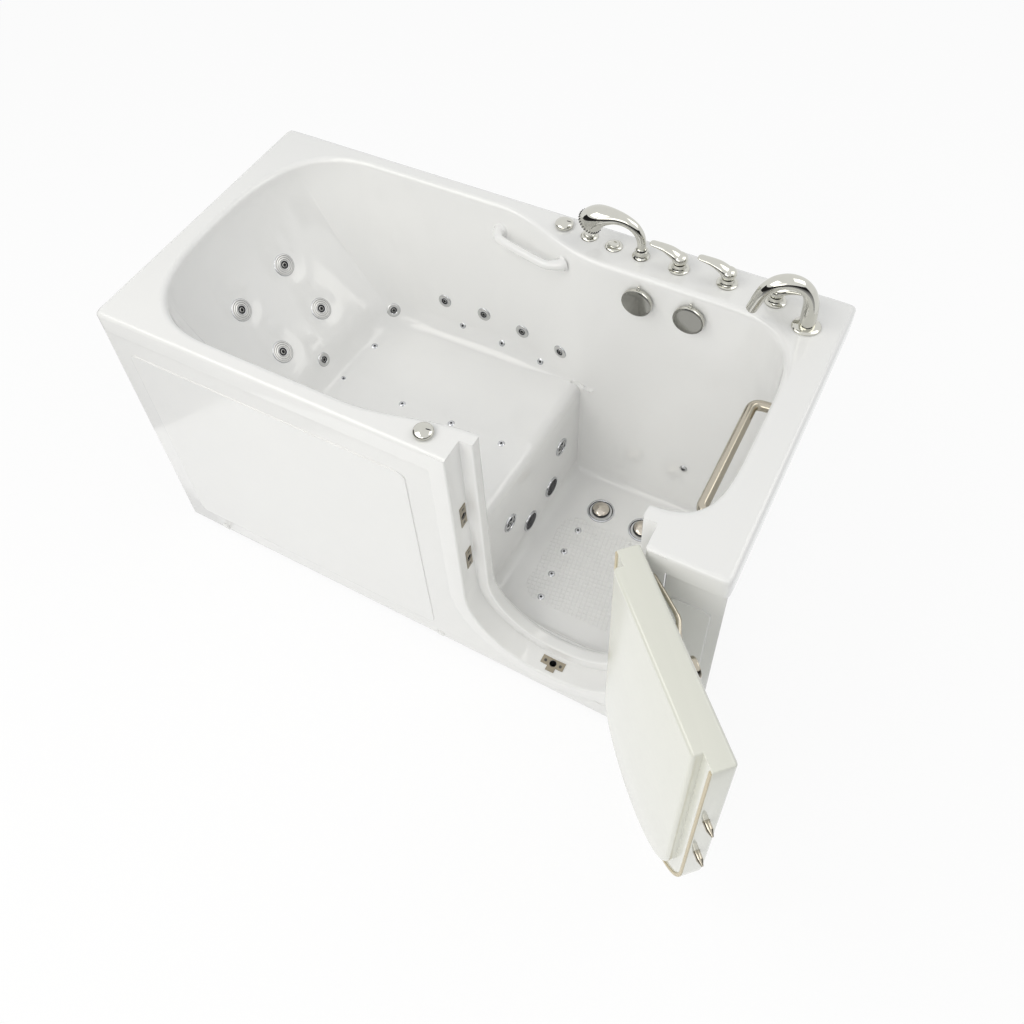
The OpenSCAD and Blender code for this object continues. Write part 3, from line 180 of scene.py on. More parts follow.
# ---- shader maths ----
class Wire:
    """A node's output socket, with arithmetic."""

    def __init__(self, graph, socket):
        self.graph, self.socket = graph, socket

    def math(self, operation, *values):
        return self.graph.node("ShaderNodeMath", {"operation": operation}, dict(enumerate(values)))

    def __add__(self, other):
        return self.math("ADD", self, other)

    def __rsub__(self, other):
        return self.math("SUBTRACT", other, self)

    def __mul__(self, other):
        return self.math("MULTIPLY", self, other)


class Graph:
    """Builds one material's or world's nodes."""

    def __init__(self, owner):
        owner.use_nodes = True
        self.owner, self.tree = owner, owner.node_tree
        self.tree.nodes.clear()

    def node(self, kind, settings=None, sockets=None, out=0):
        made = self.tree.nodes.new(kind)
        for name, value in (settings or {}).items():
            setattr(made, name, value)
        for name, value in (sockets or {}).items():
            if isinstance(value, Wire):
                self.tree.links.new(value.socket, made.inputs[name])
            elif value is not None:
                made.inputs[name].default_value = value
        return Wire(self, made.outputs[out]) if made.outputs else None

    def place(self, scale=(1, 1, 1)):
        """Where a point is on the object, in metres, stretched by scale."""
        where = self.node("ShaderNodeTexCoord", out=3)
        return self.node("ShaderNodeMapping", sockets={"Vector": where, "Scale": scale})

    def noise(self, size, detail=3.0, scale=(1, 1, 1)):
        sockets = {"Vector": self.place(scale), "Scale": 1 / size, "Detail": detail}
        return self.node("ShaderNodeTexNoise", sockets=sockets)

    def tint(self, share, first, second):
        return self.node("ShaderNodeMix", {"data_type": "RGBA"}, {0: share, 6: (*first, 1), 7: (*second, 1)}, out=2)

    def bump(self, height, distance):
        return self.node("ShaderNodeBump", sockets={"Height": height, "Distance": distance, "Strength": 1.0})

    def seen(self):
        """1 for the rays that show the backdrop: the camera's, and those off gloss and through glass."""
        kinds = ("Camera", "Glossy", "Transmission")
        camera, gloss, glass = [self.node("ShaderNodeLightPath", out=f"Is {kind} Ray") for kind in kinds]
        return camera + gloss + glass

    def finish(self, **sockets):
        names = {"colour": "Base Color", "rough": "Roughness", "metal": "Metallic", "normal": "Normal",
                 "coat": "Coat Weight", "coat_rough": "Coat Roughness"}
        shader = self.node("ShaderNodeBsdfPrincipled", sockets={names[k]: v for k, v in sockets.items()})
        self.node("ShaderNodeOutputMaterial", sockets={"Surface": shader})
        return self.owner


def shade(colour, by):
    return tuple(min(max(c * by, 0), 1) for c in colour)


def acrylic(name, colour, rough):
    """Gloss moulded acrylic: a faint ripple, faint clouding and a slightly uneven polish."""
    g = Graph(bpy.data.materials.new(name))
    cloud = g.noise(0.22, 2.0)
    polish = g.noise(0.035, 3.0)
    return g.finish(colour=g.tint(cloud, shade(colour, 0.985), shade(colour, 1.012)),
                    rough=polish * 0.06 + (rough - 0.03), normal=g.bump(g.noise(0.03, 1.0), 0.00012),
                    coat=0.35, coat_rough=0.04)


def metal(name, colour, rough, spread=0.04, grain=(1, 1, 1), ripple=0.0):
    """Polished or brushed metal with a faintly uneven polish."""
    g = Graph(bpy.data.materials.new(name))
    wear = g.noise(0.012, 4.0, grain)
    normal = g.bump(g.noise(0.004, 3.0, grain), ripple) if ripple else None
    return g.finish(colour=g.tint(wear, shade(colour, 0.94), shade(colour, 1.03)), rough=wear * spread + rough,
                    metal=1.0, normal=normal)


def plastic(name, colour, rough, grain=0.0015):
    """Plain plastic, rubber or paint with a fine speck."""
    g = Graph(bpy.data.materials.new(name))
    speck = g.noise(grain, 2.0)
    return g.finish(colour=g.tint(speck, shade(colour, 0.93), shade(colour, 1.05)), rough=speck * 0.12 + rough,
                    normal=g.bump(speck, 0.00005))


MADE = {}


def recipes():
    """How each finish is made, and with what."""
    skin, metals = bpy.context.scene.bath_skin, bpy.context.scene.bath_metal
    return {
        "acrylic_skin": (acrylic, skin.colour, skin.gloss),
        "acrylic_apron": (acrylic, skin.apron_colour, skin.gloss + 0.04),
        # the door's acrylic, darkened as painted shade
        "acrylic_door": (acrylic, skin.door_painted_shade_colour, skin.gloss + 0.03),
        "seal_rubber": (plastic, skin.seal_colour, 0.42),
        "chrome": (metal, metals.chrome, 0.03, 0.03),
        "satin_ring": (metal, (0.60, 0.60, 0.59), 0.3, 0.1),
        # grey of the grilles' studs and the vanes, also laid as painted shade on the jets' ring grooves
        "grille_grey": (metal, (0.2, 0.2, 0.21), 0.3, 0.1),
        "bright_ring": (metal, (0.60, 0.61, 0.63), 0.12, 0.05),
        # near black: the strike screws painted dark as the shade in the strikes' holes
        "screw_grey": (metal, (0.1, 0.095, 0.085), 0.3, 0.1),
        # chrome at half its brightness: a painted dark reflection on the overflow discs' faces
        "mirror_grey": (metal, shade(metals.chrome, 0.5), 0.07, 0.05),
        "warm_dome": (metal, (0.62, 0.57, 0.50), 0.12, 0.05),
        "stainless": (metal, metals.stainless, 0.12, 0.06, (1, 1, 6), 0.00001),
        "strike_plate": (metal, metals.strike, 0.3, 0.1, (1, 8, 1), 0.00002),
        # black for the knobs' marks, and painted shade in the cups, holes, gaps and pockets where it is laid
        "dark_inside": (plastic, (0.02, 0.02, 0.022), 0.35),
        "frame_paint": (plastic, (0.32, 0.33, 0.34), 0.45, 0.0008),
        "zinc": (metal, (0.55, 0.56, 0.57), 0.32, 0.12, (1, 1, 1), 0.00002),
        "pipe_plastic": (plastic, (0.42, 0.43, 0.44), 0.4),
    }


def material(name):
    """The named finish, made the first time it is asked for."""
    if name not in MADE:
        make, *values = recipes()[name]
        MADE[name] = make(name, *values)
    return MADE[name]


# ---- the tub's surface, by the same formulas as the part ----
def sin(a):
    return math.sin(math.radians(a))


def cos(a):
    return math.cos(math.radians(a))


def mix(a, b, t):
    if isinstance(a, (tuple, list, np.ndarray)):
        return tuple(x + (y - x) * t for x, y in zip(a, b))
    return a + (b - a) * t


def smooth(t):
    u = min(max(t, 0), 1)
    return u * u * (3 - 2 * u)


def inset(o, e):
    """An outline moved inward by e."""
    return (o[0] + e, o[1] - e, o[2] - e, o[3] - e, o[4] + e, o[5] + e, *o[6:])


def quad(cx, a, b, p, t):
    """A point of a superellipse of half axes a and b, power p, at angle t."""
    c, s = cos(t), sin(t)
    r = (abs(c) ** p + abs(s) ** p) ** (-1 / p)
    return (cx + a * r * c, b * r * s)


def warp(f):
    """Angle within a corner's quarter at a share of its run."""
    g = 2 * f - 1
    return 45 + 45 * math.copysign(abs(g) ** CORNER_CROWD, g)


def run_y(o, k, x):
    """An outline's Y on its back (k is 2) or front (4) run at X."""
    return mix(o[k + 1], o[k], smooth((RUN_MEET - x) / RUN_BLEND))


def plan(o, cx, role, f, x0=SEAT_FACE_X):
    """X and Y on an outline: eight roles run round it, four by the seat (0 to 3) and four by the well (4 to 7)."""
    if role == 1:
        return quad(cx, cx - o[0], o[2], o[6], 90 + warp(f))
    if role == 2:
        return quad(cx, cx - o[0], -o[4], o[6], 180 + warp(f))
    if role == 5:
        return quad(RIGHT_CX, o[1] - RIGHT_CX, -o[5], o[8], 270 + warp(f))
    if role == 6:
        return quad(RIGHT_CX, o[1] - RIGHT_CX, o[3], o[7], warp(f))
    x = {0: mix(SEAT_FACE_X, cx, f), 3: mix(cx, SEAT_FACE_X, f), 4: mix(x0, RIGHT_CX, f), 7: mix(RIGHT_CX, x0, f)}[role]
    return (x, run_y(o, 2 if role in (0, 7) else 4, x))


def lean(role, f):
    """How far a place shares in the backrest: 1 at its middle, 0 at its ends."""
    return sin(90 * f) if role == 1 else cos(90 * f) if role == 2 else 0


def parted(role, f):
    """How far a place of the seat's runs has left the well's outline."""
    return smooth(PART_RATE * f) if role == 0 else smooth(PART_RATE * (1 - f)) if role == 3 else 1


def seat_frac(role, f):
    """Share of the seat's whole run at a place, from the back wall to the front."""
    start = (0, N_RUN, N_RUN + N_QUAD, N_RUN + 2 * N_QUAD)[role]
    return (start + f * (N_RUN if role in (0, 3) else N_QUAD)) / (2 * N_RUN + 2 * N_QUAD)


def well_o_at(z):
    """The well's outline at a height."""
    return mix(inset(RIM_O, RIM_R), inset(WELL_O, -FLOOR_FILLET), (FOOT_Z - z) / (FOOT_Z - WELL_FOOT_Z))


def look(v, table):
    """Linear interpolation in a table of pairs."""
    return float(np.interp(v, [a for a, b in table], [b for a, b in table]))


def well_z(v):
    return look(v, [(4, FOOT_Z), (5, SEAT_FRONT_Z + 35), (6, SEAT_FRONT_Z + 17), (7, SEAT_FRONT_Z),
                    (8, SEAT_FRONT_Z - SEAT_EDGE_R), (9, WELL_FOOT_Z)])


def seat_z(x):
    t = (x - SEAT_O[0]) / (SEAT_FACE_X - SEAT_EDGE_R - SEAT_O[0])
    return mix(SEAT_BACK_Z, SEAT_FRONT_Z, min(max(t, 0), 1))


def seat_reach(role, f):
    return SEAT_FILLET + LEAN_REACH * lean(role, f)


def over_seat(o, cx, role, f, z):
    """A place above the seat, blended into the well's outline near it."""
    p = plan(o, cx, role, f)
    if role in (0, 3):
        k = 2 if role == 0 else 4
        return (p[0], mix(run_y(well_o_at(z), k, p[0]), p[1], parted(role, f)), z)
    return (*p, z)


def seat_wall_pt(role, f, d):
    """Down the wall round the seat: d runs from the rim to the fillet."""
    r, h = seat_reach(role, f), d ** (1 + LEAN_BOW * lean(role, f))
    cx = mix(LEFT_CX, LEFT_CX_SEAT, h)
    o = mix(inset(RIM_O, RIM_R), inset(SEAT_O, -r), h)
    x = plan(SEAT_O, LEFT_CX_SEAT, role, f)[0]
    return over_seat(o, cx, role, f, mix(FOOT_Z, seat_z(x) + r, d))


def seat_curve_pt(role, f, t):
    """Round the fillet between wall and seat."""
    reach = seat_reach(role, f)
    k = reach * (1 - sin(90 * t))
    x = plan(SEAT_O, LEFT_CX_SEAT, role, f)[0]
    return over_seat(inset(SEAT_O, -k), LEFT_CX_SEAT, role, f, seat_z(x) + k * k / reach)


def face_x(v):
    if v <= 7:
        return look(v, [(5, SEAT_FACE_X), (7, SEAT_FACE_X - SEAT_EDGE_R)])
    if v <= 8:
        return SEAT_FACE_X - SEAT_EDGE_R * (1 - sin(90 * (v - 7)))
    return SEAT_FACE_X if v <= 9 else SEAT_FACE_X + FLOOR_FILLET * (1 - cos(90 * (v - 9)))


def skew_at(v):
    return SEAT_SKEW * look(v, [(5, 0), (7, 1)])


def face_z(v):
    if v <= 8:
        return SEAT_FRONT_Z - SEAT_EDGE_R * (1 - cos(90 * (v - 7)))
    if v <= 9:
        return mix(SEAT_FRONT_Z - SEAT_EDGE_R, WELL_FOOT_Z, v - 8)
    return WELL_FOOT_Z - FLOOR_FILLET * sin(90 * (v - 9))


def floor_o(v):
    return inset(WELL_O, -FLOOR_FILLET * cos(90 * (v - 9)))


def front_line(role, f, v):
    """Across the seat's front edge, down its face and out on the floor."""
    g, x, z = seat_frac(role, f), face_x(v), face_z(v)
    o = well_o_at(z) if v <= 9 else floor_o(v)
    return (x - skew_at(v) * g, mix(run_y(o, 2, x), run_y(o, 4, x - skew_at(v)), g), z)


def seat_edge_line(v):
    """X and height of the line on the wall where the seat meets it, and on down the seat's front face."""
    if v <= 5:
        return SEAT_FACE_X, mix(FOOT_Z, SEAT_FRONT_Z + SEAT_FILLET, v - 4)
    if v <= 6:
        return SEAT_FACE_X, SEAT_FRONT_Z + SEAT_FILLET * (1 - sin(90 * (v - 5))) ** 2
    if v <= 7:
        return mix(SEAT_FACE_X, SEAT_FACE_X - SEAT_EDGE_R, v - 6), SEAT_FRONT_Z
    return face_x(v), face_z(v)


def well_pt(role, f, v):
    x0, z0 = seat_edge_line(v)
    near = smooth(f if role == 7 else 1 - f) if role in (4, 7) else 0
    x0 -= (SEAT_SKEW * look(v, [(6, 0), (7, 1)])) if role == 4 else 0
    z = mix(well_z(v), z0, near)
    o = well_o_at(z) if v <= 9 else floor_o(v)
    return (*plan(o, 0, role, f, x0), z if v <= 9 else face_z(v))


def shell_pt(role, f, v):
    """A point of the visible surface: v runs from the lip's foot over the deck and down to the floor."""
    if v <= 1:
        return (*plan(DECK_O, LEFT_CX, role, f), mix(DECK_Z - LIP_H, DECK_Z - DECK_EDGE_R, v))
    if v <= 2:
        a = 90 * (v - 1)
        return (*plan(inset(DECK_O, DECK_EDGE_R * (1 - cos(a))), LEFT_CX, role, f), DECK_Z - DECK_EDGE_R * (1 - sin(a)))
    if v <= 3:
        outer, inner = plan(inset(DECK_O, DECK_EDGE_R), LEFT_CX, role, f), plan(RIM_O, LEFT_CX, role, f)
        return (*mix(outer, inner, v - 2), DECK_Z)
    if v <= 4:
        a = 90 * (v - 3)
        return (*plan(inset(RIM_O, RIM_R * sin(a)), LEFT_CX, role, f), DECK_Z - RIM_R * (1 - cos(a)))
    if role > 3:
        return well_pt(role, f, v)
    if v <= 5:
        return seat_wall_pt(role, f, v - 4)
    if v <= 6:
        return seat_curve_pt(role, f, v - 5)
    if v <= 7:
        return mix(seat_curve_pt(role, f, 1), front_line(role, f, 7), v - 6)
    return front_line(role, f, v)


def shell_normal(q, e=0.01):
    """The surface's normal at a place, out of the skin."""
    r, f, v = q
    across = Vector(shell_pt(r, f + e, v)) - Vector(shell_pt(r, f - e, v))
    down = Vector(shell_pt(r, f, v + e)) - Vector(shell_pt(r, f, v - e))
    return across.cross(down).normalized()


def back_q(x, z):
    """The place on the back wall at a given x and height."""
    d = (FOOT_Z - z) / (FOOT_Z - seat_z(x) - SEAT_FILLET)
    return (0, (SEAT_FACE_X - x) / (SEAT_FACE_X - mix(LEFT_CX, LEFT_CX_SEAT, d)), 4 + d)


def on(q, lift=0.0):
    """The frame of a fitting on the surface: Z points out of the skin into the basin, -X up the slope."""
    n = shell_normal(q)
    turn = Matrix.Rotation(math.atan2(n.y, n.x), 4, "Z") @ Matrix.Rotation(math.acos(n.z), 4, "Y")
    return Matrix.Translation(Vector(shell_pt(*q)) + n * lift) @ turn


def at(x, y, z=DECK_Z, turn=0.0, axis="Z"):
    return Matrix.Translation((x, y, z)) @ Matrix.Rotation(math.radians(turn), 4, axis)


def bolt_places(r):
    """Where the two side bolts and the bottom bolt cross the U outline of radius r."""
    return [at(DOOR_X - r, BOLT_Y, z, 90, "Y") for z in BOLT_ZS] + [at(DOOR_X, BOTTOM_BOLT_Y, ARC_Z - r)]


SWUNG = at(HINGE_X, HINGE_Y, 0, DOOR_SWING) @ Matrix.Translation((-HINGE_X, -HINGE_Y, 0))


# ---- mesh helpers, in millimetres ----
def arc(cx, cy, r, a0, a1, n=6):
    return [(cx + r * cos(mix(a0, a1, i / n)), cy + r * sin(mix(a0, a1, i / n))) for i in range(n + 1)]


def rounded(points, radius, n):
    """A line of points with its inner corners rounded."""
    out = [points[0]]
    for before, point, after in zip(points, points[1:], points[2:]):
        p = Vector(point)
        a, b = Vector(before) - p, Vector(after) - p
        reach = min(radius, a.length * 0.48, b.length * 0.48)
        s, e = p + a.normalized() * reach, p + b.normalized() * reach
        out += [tuple(s.lerp(p, t).lerp(p.lerp(e, t), t)) for t in (k / n for k in range(n + 1))]
    return out + [points[-1]]


def curve_through(points, per):
    """Catmull-Rom points through rows of numbers."""
    rows = [np.array(p, float) for p in points]
    rows = [2 * rows[0] - rows[1], *rows, 2 * rows[-1] - rows[-2]]
    out = []
    for i in range(1, len(rows) - 2):
        p0, p1, p2, p3 = rows[i - 1:i + 3]
        for t in (k / per for k in range(per)):
            out.append(0.5 * (2 * p1 + (p2 - p0) * t + (2 * p0 - 5 * p1 + 4 * p2 - p3) * t * t
                              + (3 * p1 - p0 - 3 * p2 + p3) * t ** 3))
    return out + [rows[-2]]


def headings(points):
    """The direction of a path at each of its points."""
    last = len(points) - 1
    return [(points[min(i + 1, last)] - points[max(i - 1, 0)]).normalized() for i in range(last + 1)]


def bridge(bm, rings, paint=0):
    """Joins each ring of vertices to the next and closes both ends."""
    n = len(rings[0])
    for low, high in zip(rings, rings[1:]):
        for i in range(n):
            j = (i + 1) % n
            bm.faces.new((low[i], low[j], high[j], high[i])).material_index = paint
    for lid in (rings[0][::-1], rings[-1]):
        bm.faces.new(lid).material_index = paint


def lathe(bm, profile, where, segments=64, paint=None):
    """Turns a profile of (radius, z) round Z; it starts and ends on the axis, or closes on itself."""
    rings = []
    for r, z in profile:
        turns = [360 * i / segments for i in range(segments if r > 1e-6 else 1)]
        rings.append([bm.verts.new(where @ Vector((r * cos(a), r * sin(a), z))) for a in turns])
    for k, (low, high) in enumerate(zip(rings, rings[1:])):
        for i in range(segments):
            j = (i + 1) % segments
            corners = [low[i % len(low)], low[j % len(low)], high[j % len(high)], high[i % len(high)]]
            unique = list(dict.fromkeys(corners))
            if len(unique) > 2:
                bm.faces.new(unique).material_index = paint[k] if paint else 0


def loft(bm, stations, where=Matrix(), segments=32, up=(0, 1, 0), paint=0, power=2.0):
    """A tube through stations of (centre, direction, half width, half height).

    Its width lies along up, or turns with the path where up is None.
    """
    side, rings = None, []
    for centre, direction, a, b in stations:
        d = Vector(direction).normalized()
        if up:
            side = Vector(up)
        elif side is None:
            side = d.orthogonal().normalized()
        side = (side - d * side.dot(d)).normalized()
        rise = d.cross(side)
        ring = []
        for i in range(segments):
            c, s = cos(360 * i / segments), sin(360 * i / segments)
            k = (abs(c) ** power + abs(s) ** power) ** (-1 / power)
            ring.append(bm.verts.new(where @ (Vector(centre) + side * a * k * c + rise * b * k * s)))
        rings.append(ring)
    bridge(bm, rings, paint)


def rod(bm, path, radius, where=Matrix(), segments=24, paint=0, corner=None, cap=1.5):
    """A round rod along points, its corners bent to a radius, its ends slightly rounded."""
    points = [Vector(p) for p in (rounded(path, corner, 10) if corner else path)]
    turns = headings(points)
    stations = [(p, d, radius, radius) for p, d in zip(points, turns)]
    small = (radius - cap, radius - cap)
    first = (points[0] - turns[0] * cap, turns[0], *small)
    last = (points[-1] + turns[-1] * cap, turns[-1], *small)
    loft(bm, [first, *stations, last], where, segments, None, paint)


def bent(rows, per):
    """Stations of a tube bent in its XZ plane: rows of x, z, half width, half height and heading."""
    return [((x, 0, z), (cos(a), 0, sin(a)), wide, high) for x, z, wide, high, a in curve_through(rows, per)]


def box(bm, low, high, where=Matrix()):
    low, high = Vector(low), Vector(high)
    for v in bmesh.ops.create_cube(bm, size=1.0)["verts"]:
        v.co = where @ ((low + high) / 2 + Vector(v.co[k] * (high - low)[k] for k in range(3)))


def cylinder(bm, r, z0, z1, where, segments=48):
    lathe(bm, [(0, z0), (r, z0), (r, z1), (0, z1)], where, segments)


def plain_object(name, bm):
    """An object from a mesh drawn in millimetres, its doubles merged and its faces turned outward."""
    bmesh.ops.remove_doubles(bm, verts=bm.verts, dist=1e-4)
    bmesh.ops.recalc_face_normals(bm, faces=bm.faces)
    for v in bm.verts:
        v.co *= MM
    mesh = bpy.data.meshes.new(name)
    bm.to_mesh(mesh)
    bm.free()
    made = bpy.data.objects.new(name, mesh)
    bpy.context.scene.collection.objects.link(made)
    return made


def u_solid(name, layers, corner=4.0):
    """A solid through U outlines, half a circle below straight legs: layers of (radius, y, top)."""
    bm = bmesh.new()
    rings = []
    for r, y, top in layers:
        low = arc(DOOR_X, ARC_Z, r, 180, 360, 72)
        left = arc(DOOR_X - r + corner, top - corner, corner, 90, 180, 4)
        right = arc(DOOR_X + r - corner, top - corner, corner, 0, 90, 4)
        rings.append([bm.verts.new((x, y, z)) for x, z in left + low + right])
    bridge(bm, rings)
    return plain_object(name, bm)


def applied(obj):
    """Bakes the object's modifiers into its mesh."""
    graph = bpy.context.evaluated_depsgraph_get()
    mesh = bpy.data.meshes.new_from_object(obj.evaluated_get(graph))
    obj.modifiers.clear()
    obj.data = mesh
    return obj


def cut(obj, tool, operation="DIFFERENCE"):
    step = obj.modifiers.new(operation.lower(), "BOOLEAN")
    step.operation, step.object, step.solver = operation, tool, "MANIFOLD"
    applied(obj)
    bpy.data.objects.remove(tool)


def soften(obj, width, angle=40):
    """Rounds the sharp edges of a piece."""
    step = obj.modifiers.new("edges", "BEVEL")
    step.width, step.segments = width * MM, 3
    step.limit_method, step.angle_limit = "ANGLE", math.radians(angle)
    return applied(obj)


def dress(obj, materials, nodes=(), body="tub", slot="chrome", angle=35):
    """Gives a piece its finishes, its shading, its body and the nodes it stands for."""
    if len(materials) == 1:
        obj.data.materials.clear()
    for name in materials:
        obj.data.materials.append(material(name))
    obj.data.shade_smooth()
    obj.data.set_sharp_from_angle(angle=math.radians(angle))
    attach(obj, body)
    if nodes:
        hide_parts(*nodes)


def piece(name, bm, *finish, **more):
    dress(plain_object(name, bm), *finish, **more)


def turned(name, profile, places, materials, nodes=(), body="tub", segments=64, paint=None):
    """A piece turned from one profile at each of its places."""
    bm = bmesh.new()
    for where in places:
        lathe(bm, profile, where, segments, paint)
    piece(name, bm, materials, nodes, body)


# ---- the moulded skin ----
def skin_rows(fine):
    """Levels of the surface's rows: each mark starts a stretch of so many rows."""
    marks = [(0, 1), (1, 4), (2, 1), (2.03, 3), (2.97, 1), (3, 5), (4, 4 + 9 * fine), (5, 8), (6, 5 + fine),
             (7, 5), (8, 6), (9, 6), (10, 0)]
    rows = []
    for (a, n), (b, _) in zip(marks, marks[1:]):
        rows += [mix(a, b, i / n) for i in range(n)]
    return rows + [10]


def skin_columns(fine):
    """Role and share of each column, with so many times the fineness to a role."""
    return [(role, i / (n * fine)) for role, n in enumerate((7, 14, 14, 7, 6, 7, 7, 6)) for i in range(n * fine)]


def eased(t):
    t = np.clip(t, 0, 1)
    return t * t * (3 - 2 * t)


def press_scoops(points, normals):
    """Presses the teardrop pockets of the backrest jets into the surface."""
    for q, width, tail in SCOOPS:
        n, up = np.array(shell_normal(q)), -np.array(on(q).col[0][:3])
        d = points - np.array(shell_pt(*q))
        h, u, s = d @ n, d @ up, d @ np.cross(n, up)
        t = np.clip(u / tail, 0, 1)
        # share of the way from the pocket's middle line to its edge, which narrows up the tail
        rho = np.where(u <= 0, np.hypot(u, s), np.abs(s)) / (width * (1 - 0.9 * t ** 1.3))
        k = np.clip((rho - 0.8) / 0.22, 0, 1)
        depth = SCOOP_D * (1 - t) ** 0.8 * (1 - eased(k))
        # the pocket's round end is flat, square to the jet
        level = (1 - eased((np.hypot(u, s) - 0.8 * width) / (0.25 * width))) * (1 - k) * -h
        near = (np.linalg.norm(d, axis=-1) < tail * 1.3) & (np.abs(h) < 40)
        points += np.where(near, level - depth, 0)[..., None] * normals


def step_seat(points):
    """Lowers the near half of the seat by a soft step."""
    x, y, z = np.moveaxis(points, -1, 0)
    # the near side of the step's line, within the seat's length, on the flat of the seat
    near = eased((STEP_Y + 8 - y) / 16)
    run = np.clip((x + 350) / 60, 0, 1) * np.clip((SEAT_FACE_X - 14 - x) / 24, 0, 1)
    flat = np.clip((SEAT_FRONT_Z + 14 - z) / 12, 0, 1) * (z > SEAT_BACK_Z - 8)
    points[..., 2] -= SEAT_STEP * near * run * flat


def skin_mesh(fine):
    rows, columns = skin_rows(fine), skin_columns(fine)
    points = np.array([[shell_pt(r, f, v) for r, f in columns] for v in rows])
    across = np.roll(points, -1, axis=1) - np.roll(points, 1, axis=1)
    down = np.concatenate([points[1:2] - points[:1], points[2:] - points[:-2], points[-1:] - points[-2:-1]])
    normals = np.cross(across, down)
    normals[0, :, 2] = 0
    normals[-1] = (0, 0, 1)
    normals /= np.maximum(np.linalg.norm(normals, axis=-1, keepdims=True), 1e-9)
    press_scoops(points, normals)
    step_seat(points)
    bm = bmesh.new()
    seen, back = [[[bm.verts.new(p) for p in row] for row in side] for side in (points, points - WALL * normals)]
    middle, under = bm.verts.new((DOOR_X, 0, FLOOR_Z)), bm.verts.new((DOOR_X, 0, FLOOR_Z - WALL))
    pairs = [(i, (i + 1) % len(columns)) for i in range(len(columns))]
    for j in range(len(rows) - 1):
        for i, k in pairs:
            bm.faces.new((seen[j][i], seen[j + 1][i], seen[j + 1][k], seen[j][k]))
            bm.faces.new((back[j][i], back[j][k], back[j + 1][k], back[j + 1][i]))
    for i, k in pairs:
        bm.faces.new((seen[0][i], seen[0][k], back[0][k], back[0][i]))
    for i, k in pairs:
        bm.faces.new((seen[-1][i], middle, seen[-1][k]))
        bm.faces.new((back[-1][i], back[-1][k], under))
    return bm


def frame_layers():
    """The door frame's solid and the void cut from it, as layers of (radius, y, top)."""
    neck = RIDGE_R + RIM_R
    blank = [(FRAME_R, FRONT_Y + 0.4), (FRAME_R, FRONT_Y + WALL), (REBATE_R + WALL, FRONT_Y + WALL),
             (REBATE_R + WALL, RIDGE_Y + WALL), (neck + WALL, RIDGE_Y + WALL), (neck + WALL, FRONT_WALL_Y - WALL / 2)]
    void = [(REBATE_R + 6, FRONT_Y - 20), *arc(REBATE_R + 6, FRONT_Y + 6, 6, -90, -180, 8),
            (REBATE_R, RIDGE_Y - 3), (REBATE_R - 0.9, RIDGE_Y - 0.9), (REBATE_R - 3, RIDGE_Y),
            *arc(RIDGE_R + 5, RIDGE_Y + 5, 5, -90, -180, 6), *arc(neck, INNER_Y, RIM_R, 180, 90, 12),
            (neck, FRONT_WALL_Y + 60)]
    return [(r, y, DECK_Z - WALL / 2) for r, y in blank], [(r, y, DECK_Z + 20) for r, y in void]


def skin_cutters():
    """Everything that is let into or through the skin, one small solid each."""
    holes = bmesh.new()
    deck = [(p, KNOB_STEM) for p in KNOBS.values()] + [(p, BUTTON_STEM) for p in BUTTONS.values()]
    deck += [(p, TAP_STEM) for p in VALVES.values()] + [(SHOWER, SHOWER_STEM), (SPOUT, TAP_STEM)]
    for (x, y), r in deck:
        cylinder(holes, r + PLAY, -2 * WALL, WALL, at(x, y))
    shanks = [(q, LARGE_SHANK, -SCOOP_D) for q in LARGE_JETS]
    shanks += [(q, JET_SHANK, 0) for q in HYDRO_JETS + FOOT_JETS + SUCTIONS + OVERFLOWS]
    shanks += [(SCOOPED_JET, JET_SHANK, -SCOOP_D)] + [(q, AIR_SHANK, 0) for q in [LEG_JET] + BACK_AIR + SEAT_AIR]
    for q, r, lift in shanks:
        cylinder(holes, r + PLAY, -3 * WALL, 2 * WALL, on(q, lift), 32)
    for places, r, segments in ((FLOOR_AIR, AIR_SHANK, 24), (DRAINS, DRAIN_STEM, 48)):
        for x, y in places:
            cylinder(holes, r + PLAY, -2 * WALL, WALL, at(x, y, FLOOR_Z), segments)
    for where in bolt_places(REBATE_R):
        cylinder(holes, BOLT_HOLE_R, -2 * WALL, WALL, where)
    return holes


class BATH_OT_skin(bpy.types.Operator):
    """Moulds the tub's skin with its deck, seat, foot well, jet pockets and door frame"""
    bl_idname = "bath.skin"
    bl_label = "Moulded Skin"

    def execute(self, context):
        skin = plain_object("moulded_skin", skin_mesh(context.scene.bath_skin.fineness))
        for layers, operation in zip(frame_layers(), ("UNION", "DIFFERENCE")):
            cut(skin, u_solid("frame_tool", layers, 0.5), operation)
        cut(skin, plain_object("hole_tool", skin_cutters()))
        dress(skin, ["acrylic_skin"], ["tub_shell"], slot="white_acrylic", angle=38)
        return {"FINISHED"}


